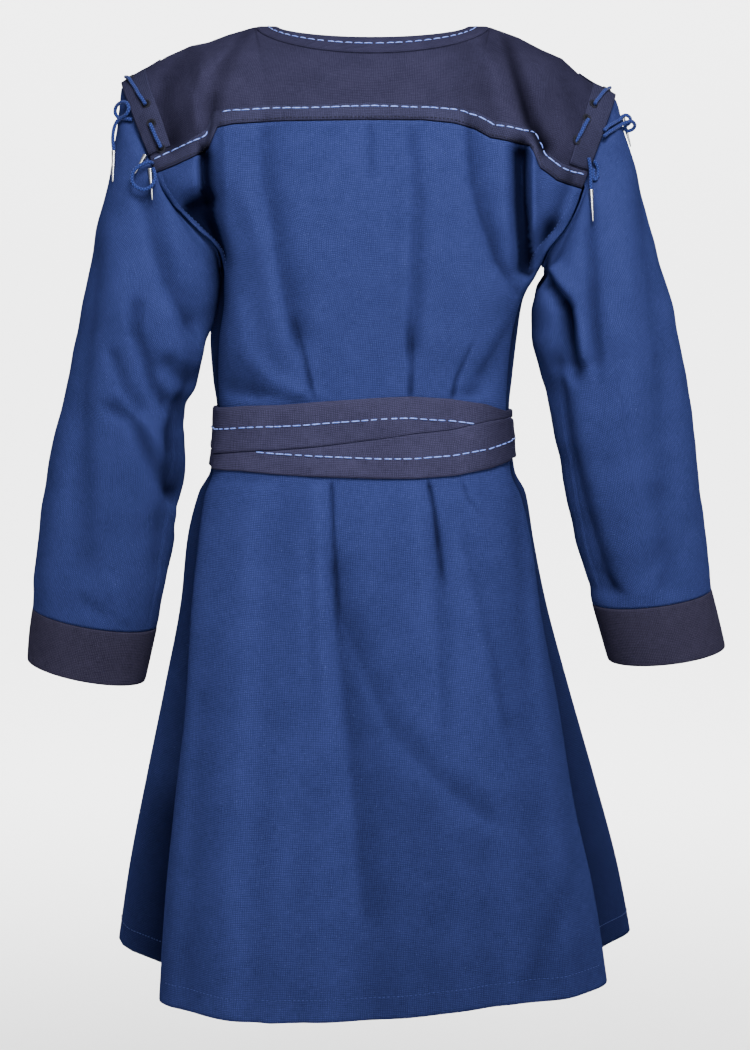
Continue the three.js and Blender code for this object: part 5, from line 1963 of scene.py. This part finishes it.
@dataclass
class Sleeves(Piece):
    """Separate tapered sleeves with their heads under the yokes, and the turned cuffs."""

    cloth: Cut = Cut("blue", "blue_cotton", (0.46, 0.58), ring=True)
    cuff: Cut = Cut("cuff", "navy_cotton", (0.36, 0.07), ring=True)
    around: int = 150
    along: int = 160
    seam: float = 0.415
    # Rings of the head: columns in from the edge of the yoke, then millimetres out past the
    # shoulder, down under the yoke, in behind the panel's edge and out beside it.
    head: tuple[tuple[float, ...], ...] = ((1, 0, 0.8, 4.2, 4.4), (0, 4, 3.6, 5, 6.5))
    cuff_wall: float = 2.4
    cuff_swell: float = 0.5
    cuff_rows: int = 30

    def build(self) -> None:
        """Builds both sleeves and cuffs."""
        turn = np.arange(self.around) / self.around
        for side in Side:
            rings = [self._head(side, turn, step) for step in self.head]
            rings += [self._ring(section, turn) for section in SLEEVES[side]]
            grid, out, tone = self._creased(side, self._through(np.stack(rings), self.along))
            self.sheet(f"sleeve_{side.word}", self.cloth, grid, out, CLOTH, tone)
            rings = np.stack([self._ring(section, turn) for section in CUFFS[side]])
            grid = self._through(rings, self.cuff_rows)
            out = self._outwards(grid)
            t = np.linspace(0, 1, self.cuff_rows)[None, :, None]
            grid = grid + out * (self.cuff_swell * rounded(t, 12))
            self.sheet(f"cuff_{side.word}", self.cuff, grid, out, self.cuff_wall)

    def _outwards(self, grid: Array) -> Array:
        """Normals of a ring grid that point away from its middle line."""
        out = grid_normals(grid, True)
        away = grid - grid.mean(axis=0, keepdims=True)
        return out * (1 if np.mean((out * away).sum(-1)) > 0 else -1)

    def _through(self, rings: Array, count: int) -> Array:
        """A smooth surface through rings, at even shares of its length, as (around, along, 3)."""
        steps = np.linalg.norm(np.diff(rings, axis=0), axis=-1).mean(axis=1)
        keys = np.concatenate([[0], np.cumsum(steps)])
        return pchip(keys, rings, np.linspace(0, keys[-1], count)).transpose(1, 0, 2)

    def _ring(self, section: tuple[float, ...], turn: Array) -> Array:
        """A section ring: turn 0 is its outer side, 0.25 its back, 0.5 its inner side."""
        row = dict(zip(SECTION, section))
        angle = (turn * 2 * math.pi)[:, None]
        out = np.array([row["outX"], row["y"], row["outZ"]])
        inside = np.array([row["inX"], row["y"], row["inZ"]])
        back = np.array([0, row["depth"], -row["lean"]])
        return (out + inside) / 2 + (out - inside) / 2 * np.cos(angle) + back * np.sin(angle)

    def _head(self, side: Side, turn: Array, step: tuple[float, ...]) -> Array:
        """A ring of the head: under the yokes' edge above, beside the panels' armhole edges below."""
        columns, out, under, deeper, beside = step
        quarter = turn * 4
        ring = np.zeros((len(turn), 3))
        for face, half in ((Face.BACK, quarter <= 2), (Face.FRONT, quarter > 2)):
            width = 0.1 if face is Face.BACK else RETURN_SHARE
            down = np.clip(quarter if face is Face.BACK else 4 - quarter, 0, 2)
            upper = half & (down <= 1)
            share = np.full(len(turn), side.value * (1 - columns * width / 3))
            end = TORSO.band_rise(face, share)
            rise = np.where(down >= 1, 0, 1 - down * (1 - end))
            surface = partial(TORSO.yoke, face)
            normal = TORSO.outward(surface, share, rise, face, 0.01)
            place = surface(share, rise) + [side.value * out, 0, 0] - normal * (2 + under)
            ring[upper] = place[upper]
            lower = half & (down > 1)
            top = float(SEAM[face].linear("z", side.value))
            z = lerp(top, UNDERARM_Z, np.clip(down - 1, 0, 1))
            edge = TORSO.panel(face, np.full(len(turn), float(side.value)), z)
            edge[:, 0] += side.value * beside
            edge[:, 1] -= np.sign(edge[:, 1]) * deeper * np.minimum(1, np.abs(edge[:, 1]) / 30)
            edge[:, 2] += beside * 0.6
            ring[lower] = edge[lower]
        return ring

    def _creased(self, side: Side, grid: Array) -> tuple[Array, Array, Array]:
        """Presses the creases and the seam into a sleeve.

        The creases drawn for its back show on the faces turned that way, and on its front a little
        lower and shallower.

        Args:
            side: Left or right.
            grid: The plain sleeve, shape (around, along, 3).

        Returns:
            The creased grid, its outward directions and its tone of painted shade and light.
        """
        out = self._outwards(grid)
        x, z = grid[..., 0], grid[..., 2]
        facing = smoothstep(out[..., 1], -0.15, 0.35)
        low = smoothstep(-z, 150, 230)
        back = crease_height(SLEEVE_CREASES[side], x, z)
        front = 0.7 * crease_height(SLEEVE_CREASES[side], x, z + 26)
        across = x + grid[..., 1]
        uneven = 1.6 * ripple(across, z, 100, 30 + side.value)
        uneven = uneven + 0.7 * ripple(across, z, 44, 40 + side.value)
        t = np.linspace(0, 1, grid.shape[1])
        ends = (smoothstep(t, 0.04, 0.14) * smoothstep(1 - t, 0, 0.05))[None]
        height = (lerp(front * low, back, facing) + uneven) * ends
        turn = (np.arange(len(grid)) / len(grid))[:, None]
        beside = (turn - self.seam) * lengths_along(grid, 0, True)[-1]
        seam = 0.4 * bell(beside - 3, 3) - 0.8 * bell(beside, 1.3)
        grid = grid + out * (height + seam * ends * smoothstep(t, 0.42, 0.6))[..., None]
        # Painted shade from the creases, on the faces turned to the back.
        kept = crease_shade(SLEEVE_CREASES[side], x, z) * facing * ends
        return grid, self._outwards(grid), np.clip(tone_of(height, True) - SHADE_WEIGHT * kept, 0, 1)


@dataclass
class Belt(Piece):
    """The folded sash wound twice: each turn a flattened roll with running stitches along it."""

    cut: Cut = Cut("belt", "belt_cotton", (0.92, 0.06), ring=True, held="stretched")
    wall: float = 2.4
    proud: float = 1.6
    stand: float = 0.8
    columns: int = 190
    rows: int = 20
    from_edge: float = 22

    def build(self) -> None:
        """Builds both turns and their stitching.

        Each turn's stitches lie half a sash's width from its free edge: the upper one's go out of
        sight under the lower turn at the right, and the other way round at the left.
        """
        for name, upper, lower, sign in (("upper", "top", "cross", 1), ("lower", "cross", "bottom", -1)):
            grid, out = self._turn(upper, lower, sign)
            edge = np.linspace(-1, 1, self.rows)[None]
            # Paler where its edges are rubbed, and painted shade towards the right side.
            rubbed = PLAIN_TONE + 0.3 * np.abs(edge) ** 10
            tone = rubbed - 0.22 * smoothstep(-grid[..., 0], 90, 135)
            self.sheet(f"belt_{name}_turn", self.cut, grid, out, self.wall, tone)
            self._stitch(name, upper, lower, sign)

    def _point(self, face: Face, share: Array, z: Array, sign: int) -> tuple[Array, Array]:
        """The outer face of a turn without the rounding of its edges, and its outward direction."""
        surface = partial(TORSO.panel, face)
        out = unit(TORSO.outward(surface, share, z, face, 0.5) * [1, 1, 0])
        lift = self.stand + self.wall + self.proud * (1 + sign * share) / 2
        return surface(share, z) + out * lift[..., None], out

    def _turn(self, upper: str, lower: str, sign: int) -> tuple[Array, Array]:
        """The outer face of one turn, right round the garment, and its outward directions."""
        parts, outs = [], []
        for face, share in (
            (Face.BACK, np.linspace(1, -1, self.columns)),
            (Face.FRONT, np.linspace(-1, 1, self.columns)[1:-1]),
        ):
            high = BELT_EDGES[face].linear(upper, share)[:, None] - (0.2 if upper == "cross" else 0)
            low = BELT_EDGES[face].linear(lower, share)[:, None] + (0.2 if lower == "cross" else 0)
            t = (1 - np.cos(np.linspace(0, math.pi, self.rows)))[None] / 2
            z = lerp(low, high, t)
            place, out = self._point(face, np.broadcast_to(share[:, None], z.shape), z, sign)
            slack = 0.9 * ripple(place[..., 0], z * 3, 110, 50 + sign)
            slack = np.clip(slack + 0.5 * ripple(place[..., 0], z * 4, 40, 52 + sign), -0.6, 1)
            over = np.clip(share[:, None] * face.value, -1, 1)
            shallow = lerp(0.3, 1, smoothstep(over, -0.3, 0.1)) if face is Face.BACK else 1
            inner = (t > 0.5) == (upper == "cross")
            edges = rounded(t, 10, 0.02) - 1
            edges = edges * np.where(inner, shallow, 1)
            lift = self.wall * edges + slack * (1 + edges)
            parts.append(place + out * lift[..., None])
            outs.append(out)
        return np.concatenate(parts), np.concatenate(outs)

    def _stitch(self, name: str, upper: str, lower: str, sign: int) -> None:
        """The running stitches of one turn, where the other turn doesn't cover them."""
        share = np.linspace(0.995, -0.995, 600)
        runs = []
        for face in Face:
            read = partial(BELT_EDGES[face].linear, at=share)
            z = read("top") - self.from_edge if sign > 0 else read("bottom") + self.from_edge - 1.5
            z = z + 0.7 * ripple(share * 160, share * 0, 70, 70 + sign)
            seen = (z < read(upper) - 0.6) & (z > read(lower) + 0.6)
            place, out = self._point(face, share[seen], z[seen], sign)
            runs.append(dashes(place + out * 0.3, out, 8.6, 1.1, 7, 31 + sign + face.value))
        strand = Strand(0.68, 0.6, 7)
        self.stitches(f"belt_{name}", strand, runs, self.wardrobe.bright_thread, "lace_cord")


def main() -> None:
    """Builds the scene piece by piece."""
    logging.basicConfig(level=logging.INFO, format="%(name)s %(message)s")
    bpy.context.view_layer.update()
    wardrobe = Wardrobe()
    for kind in (Studio, Lacing, Panels, Yokes, NeckBand, Sleeves, Belt):
        LOG.info("building %s", kind.__name__)
        kind(wardrobe).build()


if __name__ == "__main__":
    main()
